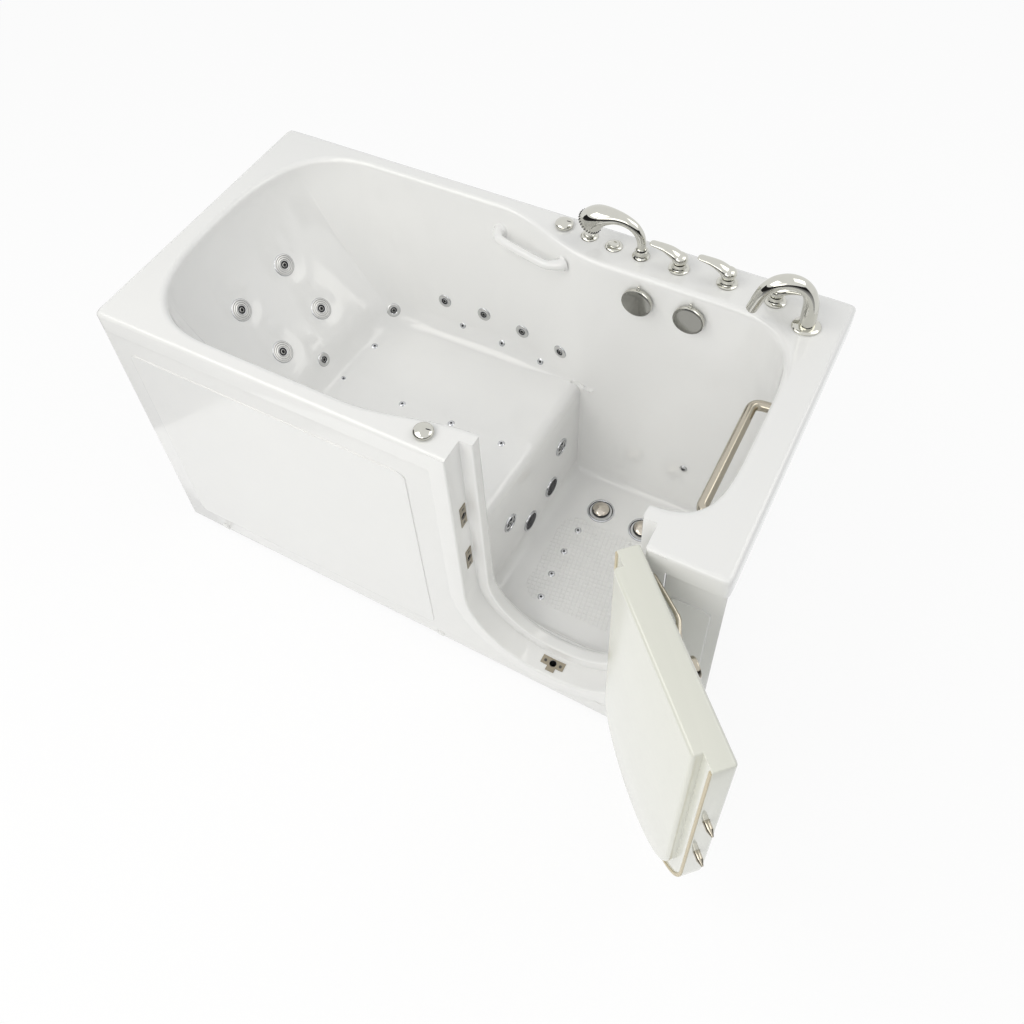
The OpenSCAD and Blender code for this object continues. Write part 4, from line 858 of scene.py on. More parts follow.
class BATH_OT_grip(bpy.types.Operator):
    """Lays the fine anti-slip ribs on the foot well's floor"""
    bl_idname = "bath.grip"
    bl_label = "Floor Grip"

    def execute(self, context):
        pitch, step = context.scene.bath_skin.grip_pitch / MM, 3.0
        low, high = Vector(GRIP_LOW), Vector(GRIP_HIGH)
        centre, half = (low + high) / 2, (high - low) / 2
        clear = [(Vector(p), DRAIN_CLEAR) for p in DRAINS] + [(Vector(p), AIR_CLEAR) for p in FLOOR_AIR]
        reach = half.length
        lines, steps = int(reach / pitch), int(2 * reach / step)
        bm = bmesh.new()
        for angle in GRIP_ANGLES:
            d, n = Vector((cos(angle), sin(angle))), Vector((-sin(angle), cos(angle)))
            for k in range(-lines, lines + 1):
                run = None
                for i in range(steps + 1):
                    p = centre + n * (k * pitch) + d * (i * step - reach)
                    inside = self.within(p - centre, half) and all((p - c).length > r for c, r in clear)
                    if inside and run is None:
                        run = p
                    if run is not None and (not inside or i == steps):
                        if (p - run).length > 2 * step:
                            self.rib(bm, run, p - d * step, n)
                        run = None
        piece("floor_grip", bm, ["acrylic_skin"], slot="white_acrylic")
        return {"FINISHED"}

    @staticmethod
    def within(p, half, corner=46):
        dx, dy = abs(p.x) - (half.x - corner), abs(p.y) - (half.y - corner)
        return math.hypot(max(dx, 0), max(dy, 0)) < corner

    @staticmethod
    def rib(bm, a, b, n, wide=1.1, high=0.9, sink=0.3):
        """One low rib with sloping sides, sunk a little into the floor."""
        section = ((-wide, -sink), (-wide / 2, high), (wide / 2, high), (wide, -sink))
        bridge(bm, [[bm.verts.new((*(p + n * s), FLOOR_Z + z)) for s, z in section] for p in (a, b)])


# ---- aprons ----
class BATH_OT_aprons(bpy.types.Operator):
    """Hangs the front apron and the narrow right panel"""
    bl_idname = "bath.aprons"
    bl_label = "Aprons"

    def execute(self, context):
        end, r, top = TUB_L / 2 - 3, FRAME_R + 2, DECK_Z - LIP_H - 2
        a = math.degrees(math.asin((ARC_Z - TOE) / r))
        outline = [(-end, 10), (end, 10), (end, TOE), (DOOR_X + r * cos(a), TOE)]
        outline += arc(DOOR_X, ARC_Z, r, 360 - a, 180, 60)[1:] + [(DOOR_X - r, top), (-end, top)]
        self.panel("front_panel", outline, APRON_FIELD, (37 - end, DOOR_X - FRAME_R - 5, top), "front_apron")
        foot = TOE + 2
        a = math.degrees(math.asin((ARC_Z - foot) / r))
        outline = [(DOOR_X + r * cos(a), foot), (end, foot), (end, top), (DOOR_X + r, top)]
        outline += arc(DOOR_X, ARC_Z, r, 360, 360 - a, 40)[:-1]
        self.panel("right_panel", outline, RIGHT_FIELD, (DOOR_X + FRAME_R + 15, end - 37, top), "right_front_panel")
        return {"FINISHED"}

    def panel(self, name, outline, field, hook, node):
        """One upright plate with its raised field, hooked behind the deck's lip."""
        bm = bmesh.new()
        bridge(bm, [[bm.verts.new((x, y, z)) for x, z in outline] for y in (PANEL_Y, PANEL_Y + 3)])
        plate = soften(plain_object(name, bm), 1.2)
        bm = bmesh.new()
        self.raise_field(bm, *field)
        x0, x1, top = hook
        back = FRONT_Y + WALL + 1.7
        box(bm, (x0, FRONT_Y + 7, top - 3), (x1, back, top))
        box(bm, (x0, back - 1.4, top), (x1, back, top + 12))
        detail = plain_object("panel_detail", bm)
        bm = bmesh.new()
        for part in (plate, detail):
            bm.from_mesh(part.data)
        bm.to_mesh(plate.data)
        bm.free()
        bpy.data.objects.remove(detail)
        dress(plate, ["acrylic_apron"], [node], slot="white_acrylic")

    @staticmethod
    def raise_field(bm, x0, z0, x1, z1, corner, rise=2.6):
        """A raised rounded rectangle with a soft edge."""
        left, right, low, high = x0 + corner, x1 - corner, z0 + corner, z1 - corner
        rings = []
        for e, dy in ((0, 1.0), (0, -0.1), (0.3, -0.9), (0.7, 0.4 - rise), (1.3, -rise), (3.5, -rise)):
            outline = []
            for k, (x, z) in enumerate(((right, high), (left, high), (left, low), (right, low))):
                outline += arc(x, z, corner - e, 90 * k, 90 * k + 90, 8)
            rings.append([bm.verts.new((x, PANEL_Y + dy, z)) for x, z in outline])
        bridge(bm, rings)


# ---- door ----
def rounded_layers(r, y0, y1, top, front_r, back_r):
    """Layers of a U solid between two faces, with rounded edges at both."""
    edges = [(front_r * (1 - sin(a)), y0 + front_r * (1 - cos(a))) for a in range(0, 91, 15)]
    edges += [(back_r * (1 - sin(a)), y1 - back_r * (1 - cos(a))) for a in (90, 70, 50, 30, 15, 0)]
    return [(r - e, y, top - e) for e, y in edges]


class BATH_OT_door(bpy.types.Operator):
    """Builds the hollow door with its shoulder and plug, and the seal round the plug"""
    bl_idname = "bath.door"
    bl_label = "Door"

    def execute(self, context):
        door = u_solid("door_body", rounded_layers(DOOR_R, DOOR_FACE_Y, SHOULDER_Y, DOOR_TOP, 8, 2))
        edge, wall = 8, 5
        plug = [(PLUG_R, SHOULDER_Y - edge, DOOR_TOP)]
        for a in range(0, 91, 15):
            e = edge * (1 - cos(a))
            plug.append((PLUG_R - e, PLUG_Y - edge + edge * sin(a), DOOR_TOP - e))
        cut(door, u_solid("plug_tool", plug), "UNION")
        for r, y0, y1, top in ((DOOR_R - wall, DOOR_FACE_Y + wall, SHOULDER_Y - wall, DOOR_TOP - wall),
                               (PLUG_R - wall, DOOR_FACE_Y + 8, PLUG_Y - wall, DOOR_TOP - 6)):
            cut(door, u_solid("hollow_tool", [(r, y0, top), (r, y1, top)]))
        cut(door, plain_object("slot_tool", self.slots()))
        for v in door.data.vertices:
            v.co = SWUNG.to_3x3() @ v.co + SWUNG.translation * MM
        dress(door, ["acrylic_door"], ["door_outer_shell", "door_inner_shell"], "door", "door_acrylic", 38)
        piece("seal_strip", self.seal(), ["seal_rubber"], ["door_seal"], "door", "beige_seal")
        return {"FINISHED"}

    @staticmethod
    def slots():
        """The door's clearances for its hinge knuckles, bolts and latch spindle."""
        bm = bmesh.new()
        for z in HINGE_ZS:
            cylinder(bm, KNUCKLE_R + 1, -4, HINGE_H + 4, at(HINGE_X, HINGE_Y, z))
        for where in bolt_places(DOOR_R):
            cylinder(bm, BOLT_R + PLAY, -1, 15, where)
        cylinder(bm, AIR_SHANK + PLAY, -1, 15, at(DOOR_X, DOOR_FACE_Y, HANDLE_Z, -90, "X"))
        return bm

    @staticmethod
    def seal():
        """A strip of closed profile (radius, y), run round the U from leg top to leg top."""
        bm = bmesh.new()
        r0, r1, y0, y1, top = SEAL_R, DOOR_R - 0.5, SHOULDER_Y, RIDGE_Y - 0.8, DOOR_TOP - 6
        profile = [(r0, y0), (r1, y0), (r1, y1 - 1.2), (r1 - 0.8, y1 - 0.3), (r1 - 2, y1), (r0 + 2, y1),
                   (r0 + 0.8, y1 - 0.3), (r0, y1 - 1.2)]
        path = [(-1, 0, top)] + [(*p, ARC_Z) for p in arc(0, 0, 1, 180, 360, 72)] + [(1, 0, top)]
        bridge(bm, [[bm.verts.new(SWUNG @ Vector((DOOR_X + across * r, y, z + rise * r))) for r, y in profile]
                    for across, rise, z in path])
        return bm


class BATH_OT_latch(bpy.types.Operator):
    """Makes the latch handle: a banded hub, a bent rod and a flat grip"""
    bl_idname = "bath.latch"
    bl_label = "Latch Handle"

    def execute(self, context):
        bm = bmesh.new()
        profile = [(0, 0), (21, 0), (21, 15), (19.2, 15.8), (19.2, 18.4), (21, 19), (21, 27.5), (20, 29.6),
                   (18, 30.2), (0, 30.2)]
        lathe(bm, rounded(profile, 0.4, 2), SWUNG @ at(DOOR_X, DOOR_FACE_Y - 0.3, HANDLE_Z, 90, "X"))
        where = SWUNG @ at(DOOR_X, DOOR_FACE_Y, HANDLE_Z, LATCH_TILT, "Y")
        rod(bm, [(14, -17, 0), (58, -17, 0), (86, -28, 0), (96, -28, 0)], 5.4, where, 20, corner=8)
        grip = [(88, -28, 0.02, 4.2, 3.4), (96, -27.6, 0.12, 5.6, 4.2), (104, -26.6, 0.17, 6.6, 4.4),
                (140, -20, 0.19, 6.8, 4.4), (170, -14, 0.19, 6.4, 4.2), (176, -12.8, 0.19, 5.2, 3.4),
                (178.5, -12.3, 0.19, 3.0, 1.8)]
        loft(bm, [((x, y, 0), (1, slope, 0), wide, high) for x, y, slope, wide, high in grip], where, 24, (0, 0, 1))
        piece("latch_handle", bm, ["stainless"], ["door_handle"], "handle")
        return {"FINISHED"}


# ---- jets ----
def jet(bm, where, flange, cup, shank, length, rings):
    """A round jet: bevelled flange, fine rings with painted shade on their grooves, a cup and nozzle hole painted dark
    as shade, and the nozzle's ball.
    """
    lip = flange * 0.93
    profile = [(0, -length), (shank, -length), (shank, -JET_SINK), (flange, -JET_SINK), (flange, 0.4),
               (flange * 0.975, 1.6), (lip, 2.2)]
    paint = [PAINTED_SHADE] * 2 + [BRIGHT] * 4
    for k in range(rings):
        for share, z in ((0.25, 2.7), (0.5, 2.7), (0.75, 2.1), (1.0, 2.1)):
            along = (k + share) / rings
            profile.append((lip - (lip - cup - 1.5) * along, z + 0.35 * along))
            # the step down into each groove of the rings is painted dark grey as shade
            paint.append(GRILLE_AND_GROOVE_SHADE if rings > 1 and share == 0.75 else RING)
    profile += [(cup + 1.0, 3.4), (cup, 2.9)] + [(cup * r, z) for r, z in NOZZLE]
    # the cup round the ball and the nozzle's hole are painted dark as shade
    paint += [BRIGHT, BRIGHT, PAINTED_SHADE, PAINTED_SHADE, PAINTED_SHADE, RING, RING, PAINTED_SHADE, PAINTED_SHADE, PAINTED_SHADE]
    lathe(bm, profile, where, 56, paint)


def air_jet(bm, where):
    profile = [(0, -30), (AIR_SHANK, -30), (AIR_SHANK, -1), (9, -1), (9, 0.5), (7.74, 1.6), (4.95, 2.3), (3.24, 2.1),
               (2.88, 0.2), (0, 0.2)]
    # the middle hole is painted dark as shade
    lathe(bm, profile, where, 28, [PAINTED_SHADE] * 2 + [BRIGHT] * 5 + [PAINTED_SHADE] * 2)


def foot_jet(bm, where):
    """A wide ringed cup with a small nozzle and three swept vanes."""
    profile = [(0, -50), (JET_SHANK, -50), (JET_SHANK, -2), (26, -2), (26, 1.5), (25.2, 3), (23.5, 3.8), (20.6, 3.4),
               (19.6, 1.5), (19.2, -1), (0, -1)]
    # the cup's floor, and the nozzle's hole below, are painted dark as shade
    lathe(bm, profile, where, 64, [PAINTED_SHADE] * 2 + [BRIGHT] * 6 + [PAINTED_SHADE] * 2)
    nozzle = [(0, -1.5), (6.5, -1.5), (6.5, 1.6), (5.2, 2.6), (3.6, 2.4), (3.4, 0.6), (0, 0.6)]
    lathe(bm, nozzle, where, 32, [RING, RING, BRIGHT, BRIGHT, PAINTED_SHADE, PAINTED_SHADE])
    sweep = [(6 + 10.5 * t, 8 * t * t, 0.8) for t in (0, .25, .5, .75, 1)]
    for turn in (0, 120, 240):
        rod(bm, sweep, 1.5, where @ at(0, 0, 0, turn), 10, GRILLE_AND_GROOVE_SHADE, cap=0.5)


def grille(bm, where):
    """A suction cover: a raised ring round rows of small studs."""
    profile = [(0, -60), (JET_SHANK, -60), (JET_SHANK, -2), (30, -2), (30, 1.8), (29, 3.4), (27, 4), (24.5, 3.4),
               (23.5, 1.2), (0, 1.2)]
    # the floor under the studs is painted dark as shade
    lathe(bm, profile, where, 64, [PAINTED_SHADE] * 2 + [BRIGHT] * 5 + [PAINTED_SHADE] * 2)
    stud = [(1.5, 0.9), (2.3, 0.9), (2.5, 2.9), (2.0, 3.5), (1.5, 2.9), (1.5, 0.9)]
    for count, r in ((1, 0), (6, 6.5), (12, 12.8), (18, 19)):
        for k in range(count):
            lathe(bm, stud, where @ at(0, 0, 0, 360 * k / count) @ Matrix.Translation((r, 0, 0)), 12, [GRILLE_AND_GROOVE_SHADE] * 5)


class BATH_OT_jets(bpy.types.Operator):
    """Fits the water jets, the air jets and the suction covers"""
    bl_idname = "bath.jets"
    bl_label = "Jets"

    def execute(self, context):
        small = (19, 9, JET_SHANK, 50, 1)
        lowered = [q for q in SEAT_AIR if shell_pt(*q)[1] < STEP_Y and shell_pt(*q)[2] < SEAT_FRONT_Z + 2]
        air = [on(q, -SEAT_STEP if q in lowered else 0) for q in BACK_AIR + SEAT_AIR]
        air += [at(x, y, FLOOR_Z) for x, y in FLOOR_AIR]
        sets = {
            ("backrest_jets", "large_backrest_jets"):
                [(jet, on(q, -SCOOP_D), 30, 10.5, LARGE_SHANK, 60, 3) for q in LARGE_JETS],
            ("back_wall_jets", "hydro_jet_set"):
                [(jet, on(q), *small) for q in HYDRO_JETS] + [(jet, on(SCOOPED_JET, -SCOOP_D), *small)],
            ("foot_jets", "foot_jet_set"): [(foot_jet, on(q)) for q in FOOT_JETS],
            ("air_jet_caps", "air_jets"):
                [(jet, on(LEG_JET), 10.5, 5, AIR_SHANK, 30, 1)] + [(air_jet, where) for where in air],
            ("suction_grilles", "suction_covers"): [(grille, on(q)) for q in SUCTIONS],
        }
        for (name, node), fittings in sets.items():
            bm = bmesh.new()
            for draw, *where_and_sizes in fittings:
                draw(bm, *where_and_sizes)
            piece(name, bm, ["satin_ring", "bright_ring", "dark_inside", "grille_grey"], [node])
        return {"FINISHED"}


class BATH_OT_drains(bpy.types.Operator):
    """Fits the drains with their dome stoppers and the overflow discs"""
    bl_idname = "bath.drains"
    bl_label = "Drains and Overflows"

    def execute(self, context):
        bm = bmesh.new()
        profile = [(16, -55), (16, -1.5), (29.5, -0.6), (30.5, 1.2), (33, 2.6), (36, 1.8), (37, 0.2), (37, -1),
                   (DRAIN_STEM, -1), (DRAIN_STEM, -58), (4.1, -58), (4.1, -55), (16, -55)]
        guide = [(4.05, -22), (7.5, -22), (7.5, -16), (4.05, -16), (4.05, -22)]
        for x, y in DRAINS:
            # the drain's bore and the bowl round the stopper are painted dark as shade
            lathe(bm, profile, at(x, y, FLOOR_Z), 64, [1] * 2 + [0] * 8 + [1] * 2)
            for turn in (0, 90):
                for low, high in ((-16.5, -4.2), (4.2, 16.5)):
                    box(bm, (low, -1.5, -22), (high, 1.5, -16), at(x, y, FLOOR_Z, turn))
            lathe(bm, guide, at(x, y, FLOOR_Z), 32)
        piece("drain_flanges", bm, ["bright_ring", "dark_inside"], ["drain_bodies"])
        dome = [(25 * cos(a), 4 + 11 * sin(a)) for a in range(0, 90, 9)]
        profile = [(0, -30), (4, -30), (4, 0.5), (24, 0.5), (25, 2)] + dome + [(0, 15)]
        # the stopper's underside and the lower side of its dome are painted dark as shade
        for name, (x, y) in zip(("left", "right"), DRAINS):
            turned(f"{name}_dome_stopper", profile, [at(x, y, FLOOR_Z + 1.8)], ["warm_dome", "dark_inside"],
                   [f"drain_stopper_{name}"], f"{name}_stopper", paint=[1] * 8 + [0] * (len(profile) - 9))
        flange = [(5.1, -45), (JET_SHANK, -45), (JET_SHANK, -2), (26, -2), (26, 2.6), (24.6, 4), (5.1, 4), (5.1, -45)]
        turned("overflow_flanges", flange, [on(q) for q in OVERFLOWS], ["chrome"], ["overflow_bodies"], segments=48)
        disc = [(0, -14), (3.9, -14), (3.9, 5), (33.5, 5), (36.2, 6.2), (37, 8), (37, 15), (36.2, 16.8),
                (34.4, 17.6), (30, 18), (0, 18.6)]
        tab = [(34, 4.2, 3.2), (43, 3.8, 2.9), (46.5, 3.2, 2.4), (47.6, 2.0, 1.4)]
        for name, q in zip(("left", "right"), OVERFLOWS):
            bm = bmesh.new()
            # the disc's face is painted with darkened chrome as a reflection
            lathe(bm, disc, on(q), 72, [0] * 7 + [1] * 3)
            loft(bm, [((x, 0, 10.5), (1, 0, 0), a, b) for x, a, b in tab], on(q) @ at(0, 0, 0, 180), 20, power=4)
            piece(f"{name}_overflow_disc", bm, ["chrome", "mirror_grey"], [f"overflow_knob_{name}"],
                  f"{name}_overflow_knob")
        return {"FINISHED"}


# ---- deck fittings ----
def facing(where, place, direction):
    """The frame of a face that stands at a place and looks along a direction."""
    return where @ Matrix.Translation(place) @ Vector(direction).to_track_quat("Z", "Y").to_matrix().to_4x4()


class BATH_OT_taps(bpy.types.Operator):
    """Stands the lever valves, the spout and the hand shower on the deck"""
    bl_idname = "bath.taps"
    bl_label = "Taps"

    def execute(self, context):
        base = [(0, -60), (TAP_STEM, -60), (TAP_STEM, 0), (23.4, 0), (24, 1.2), (23.4, 3.2), (21, 4.4), (17.5, 5.2),
                (15.6, 7.5), (14.6, 11), (14.2, 18), (0, 18)]
        turned("valve_bases", base, [at(x, y) for x, y in VALVES.values()], ["chrome"], ["valve_bodies"])
        cap = [(0, 20.3), (12.5, 20.3), (16.2, 23), (18.6, 30), (17.6, 37.5), (12, 42.5), (5, 44.4), (0, 44.8)]
        lever = [(0, 31, 16.5, 13, 70), (10, 38, 16.3, 11.5, 48), (24, 45, 14.6, 9.2, 22), (40, 49.2, 12.2, 6.8, 9),
                 (56, 50.8, 10.8, 4.8, 4), (66, 51.4, 9.8, 3.8, 3), (70.5, 51.6, 7.6, 2.9, 3),
                 (72.4, 51.7, 4.6, 1.8, 3)]
        for name, (x, y) in VALVES.items():
            bm = bmesh.new()
            where = at(x, y, DECK_Z, 0 if name == "right_lever" else 180)
            lathe(bm, rounded(cap, 3, 4), where)
            loft(bm, bent(lever, 5), where, 36)
            piece(f"{name}_handle", bm, ["chrome"], [f"valve_lever_{name.removesuffix('_lever')}"], name)
        self.spout()
        self.shower()
        return {"FINISHED"}

    @staticmethod
    def spout():
        """The arched spout on its oval foot, with a dark mouth."""
        bm = bmesh.new()
        where = at(*SPOUT, DECK_Z, SPOUT_TURN)
        foot = [(0, 30.5, 27), (1.6, 31.5, 28), (4, 31, 27.6), (6, 29, 25.4), (7, 22, 20)]
        loft(bm, [((0, 0, z), (0, 0, 1), a, b) for z, a, b in foot], where, 56, (1, 0, 0))
        cylinder(bm, TAP_STEM, -60, 2, where)
        arch = [(0, 4, 17.2, 17.8, 90), (0, 40, 17.0, 17.2, 90), (2, 74, 17.0, 16.0, 84), (11, 101, 17.4, 15.2, 62),
                (29, 121, 18.0, 14.6, 32), (54, 129, 18.4, 14.2, 0), (79, 122, 18.2, 13.8, -30),
                (97, 104, 17.4, 13.4, -56), (107, 82, 16.2, 13.0, -70), (114, 60, 15.0, 12.6, -74),
                (118.5, 46, 14.2, 12.4, -75), (119.3, 43, 13.2, 11.6, -75)]
        stations = bent(arch, 6)
        loft(bm, stations, where, 44)
        mouth = [(0, -1), (9.6, -1), (9.8, 0.35), (8.6, 0.5), (8.2, 0.1), (0, 0.1)]
        # the mouth's face and bore are painted dark as shade
        lathe(bm, mouth, facing(where, *stations[-1][:2]), 32, [1, 1, 0, 0, 1])
        piece("arched_spout", bm, ["chrome", "dark_inside"], ["spout"])

    @staticmethod
    def shower():
        """The hand shower's bent body and round face with its ring of slots, and the collar that holds it."""
        where = at(*SHOWER)
        collar = [(0, -60), (SHOWER_STEM, -60), (SHOWER_STEM, 0), (20, 0), (20.6, 1.2), (20, 3.2), (17.5, 5.4),
                  (15.5, 9), (15, 14), (15.6, 16.5), (15.2, 19), (13.2, 20), (8.4, 20), (8.4, 4), (0, 4)]
        turned("shower_collar", collar, [where], ["chrome"], ["shower_holder"], segments=56)
        bm = bmesh.new()
        foot = [(0, 4.3), (8, 4.3), (8, 20.3), (12.2, 20.4), (12.6, 22), (12.2, 24.6), (10.4, 26), (0, 26)]
        lathe(bm, foot, where, 48, [0, 0, 0, 1, 1, 0, 0])
        body = [(0, 24, 9.8, 9.8, 90), (-1, 42, 10.4, 10.4, 97), (-7, 62, 11.4, 11.2, 113), (-21, 79, 12.6, 12, 137),
                (-42, 89, 14.6, 13, 164), (-64, 91.5, 18.5, 15, 180), (-86, 88, 24.5, 19.5, 196),
                (-105, 81, 29, 25.5, 212), (-119, 69.5, 30.8, 29.5, 225), (-129.5, 56, 30.6, 30.4, 232)]
        loft(bm, bent(body, 6), where, 44)
        x, z, *_, heading = body[-1]
        face = facing(where, (x, 0, z), (cos(heading), 0, sin(heading)))
        plate = [(0, -1), (30.2, -1), (30.2, 1.6), (29, 2.8), (26.5, 3), (25.6, 1.4), (19, 1.4), (18.4, 2.6),
                 (12, 3.6), (0, 4)]
        lathe(bm, plate, face, 64, [0] * 5 + [1] * 2 + [0] * 2)
        for k in range(28):
            slot = [(24.6, 0, 2.8), (30.4, 0, 1.6), (31.2, 0, -3.5)]
            rod(bm, slot, 1.3, face @ at(0, 0, 0, 360 * k / 28), 8, 1, cap=0.3)
        piece("shower_head", bm, ["chrome", "dark_inside"], ["hand_shower"], "hand_shower")


class BATH_OT_deck_controls(bpy.types.Operator):
    """Sets the dome knobs and the push buttons into the deck"""
    bl_idname = "bath.deck_controls"
    bl_label = "Deck Controls"

    def execute(self, context):
        socket = [(4.1, -45), (KNOB_STEM, -45), (KNOB_STEM, 0), (16, 0), (16, 2), (4.1, 2), (4.1, -45)]
        turned("knob_sockets", socket, [at(*p) for p in KNOBS.values()], ["chrome"], ["knob_bodies"], segments=48)
        dome = [(22 * cos(a), 8 + 9 * sin(a)) for a in range(0, 90, 9)]
        knob = [(0, -38), (4, -38), (4, 2.3), (20.4, 2.3), (21.6, 3.2), (22, 5)] + dome + [(0, 17)]
        mark = [((6, 0, 16.55), (1, 0, -0.2), 1.4, 0.35), ((11, 0, 15.75), (1, 0, -0.3), 1.6, 0.35),
                ((16.4, 0, 13.9), (1, 0, -0.55), 1.5, 0.35)]
        for name, (x, y) in KNOBS.items():
            bm = bmesh.new()
            lathe(bm, knob, at(x, y))
            loft(bm, mark, at(x, y, DECK_Z, 15), 12, paint=1)
            piece(f"{name}_dome", bm, ["chrome", "dark_inside"], [name], name)
        ring = [(13.1, -45), (BUTTON_STEM, -45), (BUTTON_STEM, 0), (20.4, 0), (21, 0.9), (20.6, 2.2), (18.4, 4.2),
                (16, 5.6), (14.2, 6), (13.1, 5.4), (13.1, -45)]
        turned("button_rings", ring, [at(*p) for p in BUTTONS.values()], ["chrome"], ["button_bodies"], segments=56)
        cap = [(0, -20), (13, -20), (13, 6), (12.5, 7.6), (11.2, 8.8), (9.6, 9.4), (8.4, 9.2), (6.4, 8), (3, 7.3),
               (0, 7.1)]
        for name, place in BUTTONS.items():
            turned(f"{name}_cap", cap, [at(*place)], ["chrome"], [name], name, 56)
        return {"FINISHED"}


# ---- rails ----
class BATH_OT_rails(bpy.types.Operator):
    """Bends the stainless grab bar and moulds the white grab handle"""
    bl_idname = "bath.rails"
    bl_label = "Rails"

    def execute(self, context):
        bm = bmesh.new()
        first, last = [Vector(shell_pt(*q)) for q in BAR_ENDS]
        turns = [p + shell_normal(q) * ((BAR_X - p.x) / shell_normal(q).x) for p, q in zip((first, last), BAR_ENDS)]
        rod(bm, [tuple(p) for p in (first, *turns, last)], 12, segments=36, corner=30, cap=0.5)
        rose = [(0, -2), (26.6, -2), (27, -1), (27, 1.6), (25.6, 2.8), (20, 4.2), (13.5, 5.4), (11.5, 7.5), (0, 7.5)]
        for q in BAR_ENDS:
            lathe(bm, rose, on(q), 48)
        piece("stainless_bar", bm, ["stainless"], ["grab_bar"], slot="stainless")
        bm = bmesh.new()
        feet = [back_q(x, z) for x, z in HANDLE_FEET]
        (a, b), (na, nb) = [Vector(shell_pt(*q)) for q in feet], [shell_normal(q) for q in feet]
        along = (b - a).normalized()
        near, far = HANDLE_LEGS
        rows = [(a + na * out + along * run, r) for out, run, r in near]
        rows += [(a.lerp(b, 0.5) + (na + nb) * 16.5, 10.6)]
        rows += [(b + nb * out - along * run, r) for out, run, r in far]
        points = curve_through([(*p, r) for p, r in rows], 7)
        path = [Vector(p[:3]) for p in points]
        loft(bm, [(p, d, q[3], q[3]) for p, d, q in zip(path, headings(path), points)], segments=28, up=None)
        piece("white_handle", bm, ["acrylic_skin"], ["grab_handle"], slot="white_acrylic")
        return {"FINISHED"}


class BATH_OT_metalwork(bpy.types.Operator):
    """Sets dark cups behind the strikes, painted shade in the bolt holes, and finishes the nodes that stay as the part
    has them
    """
    bl_idname = "bath.metalwork"
    bl_label = "Metalwork"

    def execute(self, context):
        finishes = {
            "acrylic_apron": ["apron_clips"],
            "frame_paint": ["support_frame"],
            "zinc": ["levelling_feet", "foot_lock_nuts", "latch_spindle"],
            "stainless": ["frame_hinge_leaves", "door_hinge_leaves", "hinge_pins", "side_bolts", "bottom_bolt"],
            "strike_plate": ["side_strikes", "bottom_strike"],
            # the strike screws painted near black as shade
            "screw_grey": ["strike_screws"],
            "pipe_plastic": ["jet_nuts", "waste_pipes"],
        }
        # dark cups let into the bolt holes, painted shade where the holes are dark
        pocket = [(0, -34), (8.7, -34), (8.7, -0.6), (8.1, -0.6), (8.1, -33), (0, -33)]
        turned("bolt_hole_painted_shade", pocket, bolt_places(REBATE_R), ["dark_inside"], segments=32)
        for finish, names in finishes.items():
            for name in names:
                NODES[name].data.materials.clear()
                NODES[name].data.materials.append(material(finish))
        return {"FINISHED"}


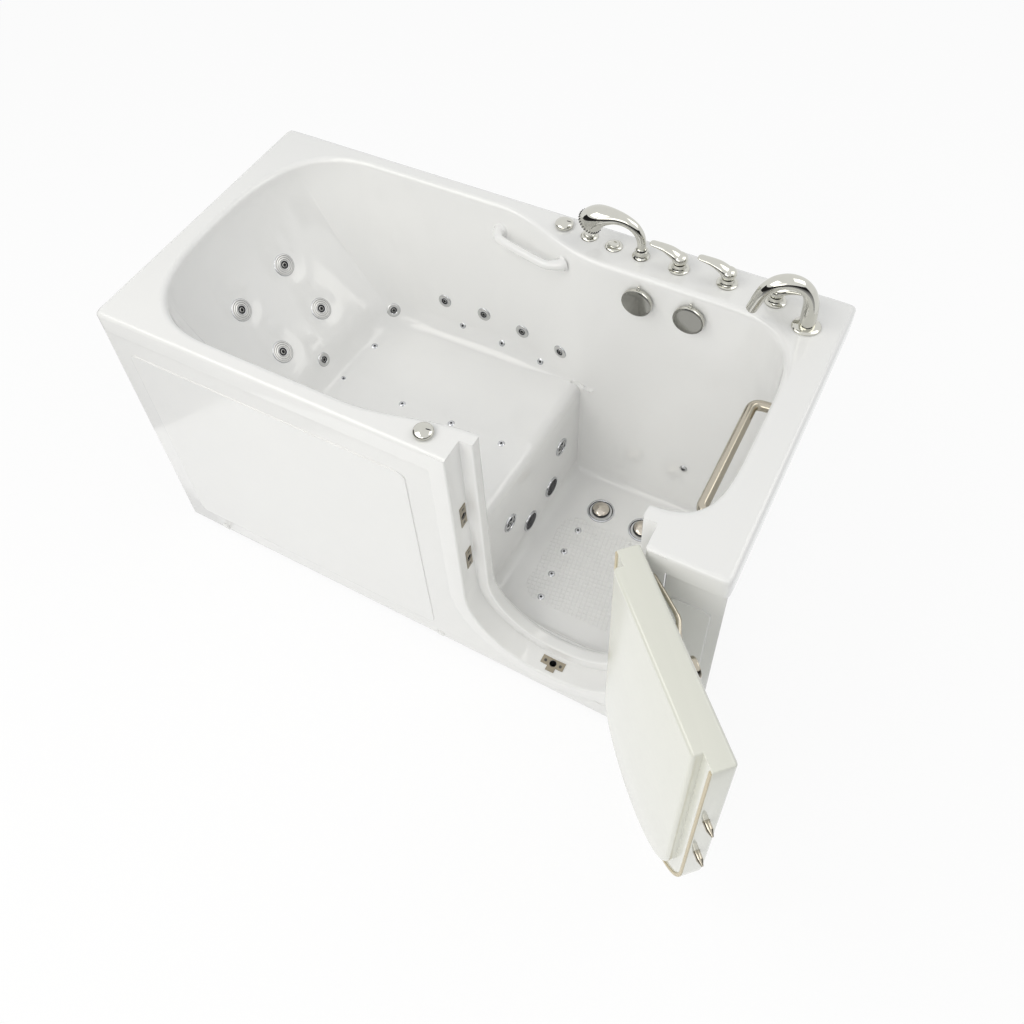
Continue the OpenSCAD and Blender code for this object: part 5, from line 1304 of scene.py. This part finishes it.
# ---- stage ----
class BATH_OT_stage(bpy.types.Operator):
    """Lays the pale floor, hangs the soft boxes and sets the camera"""
    bl_idname = "bath.stage"
    bl_label = "Stage"

    def execute(self, context):
        scene, settings = context.scene, context.scene.bath_stage
        self.floor(settings)
        self.room(scene, settings)
        self.card()
        for k, (place, aim, size, share) in enumerate(SOFT_BOXES):
            data = bpy.data.lights.new(f"soft_box_{k}", "AREA")
            data.energy, data.size, data.shape = settings.lamps * share, size, "SQUARE"
            data.color = LAMP_COLOUR
            lamp = bpy.data.objects.new(data.name, data)
            lamp.location = place
            lamp.rotation_euler = (Vector(aim) - Vector(place)).to_track_quat("-Z", "Y").to_euler()
            scene.collection.objects.link(lamp)
        data = bpy.data.cameras.new("photo_camera")
        data.sensor_width, data.lens = 36, settings.focal
        data.shift_x, data.shift_y = CAMERA_SHIFT
        data.clip_start, data.clip_end = 0.05, 100
        camera = bpy.data.objects.new("photo_camera", data)
        camera.matrix_world = Matrix.Translation(CAMERA_AT) @ Matrix(CAMERA_AXES).transposed().to_4x4()
        scene.collection.objects.link(camera)
        scene.camera = camera
        scene.view_settings.view_transform = "Standard"
        return {"FINISHED"}

    @staticmethod
    def floor(settings, reach=9000):
        """A wide floor, lit a little and mostly shining white to the camera."""
        bm = bmesh.new()
        bm.faces.new([bm.verts.new((x * reach, y * reach, -1)) for x, y in ((-1, -1), (1, -1), (1, 1), (-1, 1))])
        floor = plain_object("studio_floor", bm)
        g = Graph(bpy.data.materials.new("studio_floor"))
        colour = (*settings.floor, 1)
        matte = g.node("ShaderNodeBsdfDiffuse", sockets={"Color": colour})
        bright = g.node("ShaderNodeEmission", sockets={"Color": colour, "Strength": 1.0})
        both = g.node("ShaderNodeMixShader", sockets={0: g.seen() * FLOOR_SHINE, 1: matte, 2: bright})
        g.node("ShaderNodeOutputMaterial", sockets={"Surface": both})
        floor.data.materials.append(g.owner)

    @staticmethod
    def room(scene, settings):
        """Light from all round, with the backdrop's colour where it shows."""
        scene.world = bpy.data.worlds.new("studio")
        g = Graph(scene.world)
        level = g.seen() * (1 - settings.sky) + settings.sky
        air = g.tint(g.seen(), AIR_COLOUR, settings.floor)
        back = g.node("ShaderNodeBackground", sockets={"Color": air, "Strength": level})
        g.node("ShaderNodeOutputWorld", sockets={"Surface": back})

    @staticmethod
    def card():
        """Stands a half ring of grey card in front of the tub, which only the gloss of the fittings shows."""
        bm = bmesh.new()
        low, high = [[bm.verts.new((x, y, z)) for x, y in arc(200, 0, r, 180, 360, 9)] for r, z in CARD_EDGES]
        for i in range(len(low) - 1):
            bm.faces.new((low[i], low[i + 1], high[i + 1], high[i]))
        card = plain_object("grey_card", bm)
        g = Graph(bpy.data.materials.new("grey_card"))
        rise = g.node("ShaderNodeSeparateXYZ", sockets={0: g.place()}, out=2)
        glow = rise.math("MAXIMUM", CARD_GLOW - rise * CARD_FADE, 0.02)
        shown = g.node("ShaderNodeEmission", sockets={"Color": (1, 1, 1.02, 1), "Strength": glow})
        g.node("ShaderNodeOutputMaterial", sockets={"Surface": shown})
        g.owner.cycles.emission_sampling = "NONE"
        card.data.materials.append(g.owner)
        card.visible_camera = card.visible_diffuse = card.visible_shadow = card.visible_transmission = False


OPERATORS = (BATH_OT_stage, BATH_OT_skin, BATH_OT_grip, BATH_OT_aprons, BATH_OT_door, BATH_OT_latch, BATH_OT_jets,
             BATH_OT_drains, BATH_OT_taps, BATH_OT_deck_controls, BATH_OT_rails, BATH_OT_metalwork)


class BATH_PT_panel(bpy.types.Panel):
    """Lists the bathtub's settings and pieces"""
    bl_idname = "BATH_PT_panel"
    bl_label = "Walk In Bathtub"
    bl_space_type = "VIEW_3D"
    bl_region_type = "UI"
    bl_category = "Bathtub"

    def draw(self, context):
        for group in (context.scene.bath_skin, context.scene.bath_metal, context.scene.bath_stage):
            for name in group.__annotations__:
                self.layout.prop(group, name)
        for operator in OPERATORS:
            self.layout.operator(operator.bl_idname)


GROUPS = {"bath_skin": BathSkinSettings, "bath_metal": BathMetalSettings, "bath_stage": BathStageSettings}


def register():
    for made in (*GROUPS.values(), *OPERATORS, BATH_PT_panel):
        bpy.utils.register_class(made)
    for name, group in GROUPS.items():
        setattr(bpy.types.Scene, name, PointerProperty(type=group))


def unregister():
    for name in GROUPS:
        delattr(bpy.types.Scene, name)
    for made in (BATH_PT_panel, *OPERATORS[::-1], *GROUPS.values()):
        bpy.utils.unregister_class(made)


def main():
    register()
    for operator in OPERATORS:
        getattr(bpy.ops.bath, operator.bl_idname.split(".")[1])()


if __name__ == "__main__":
    main()
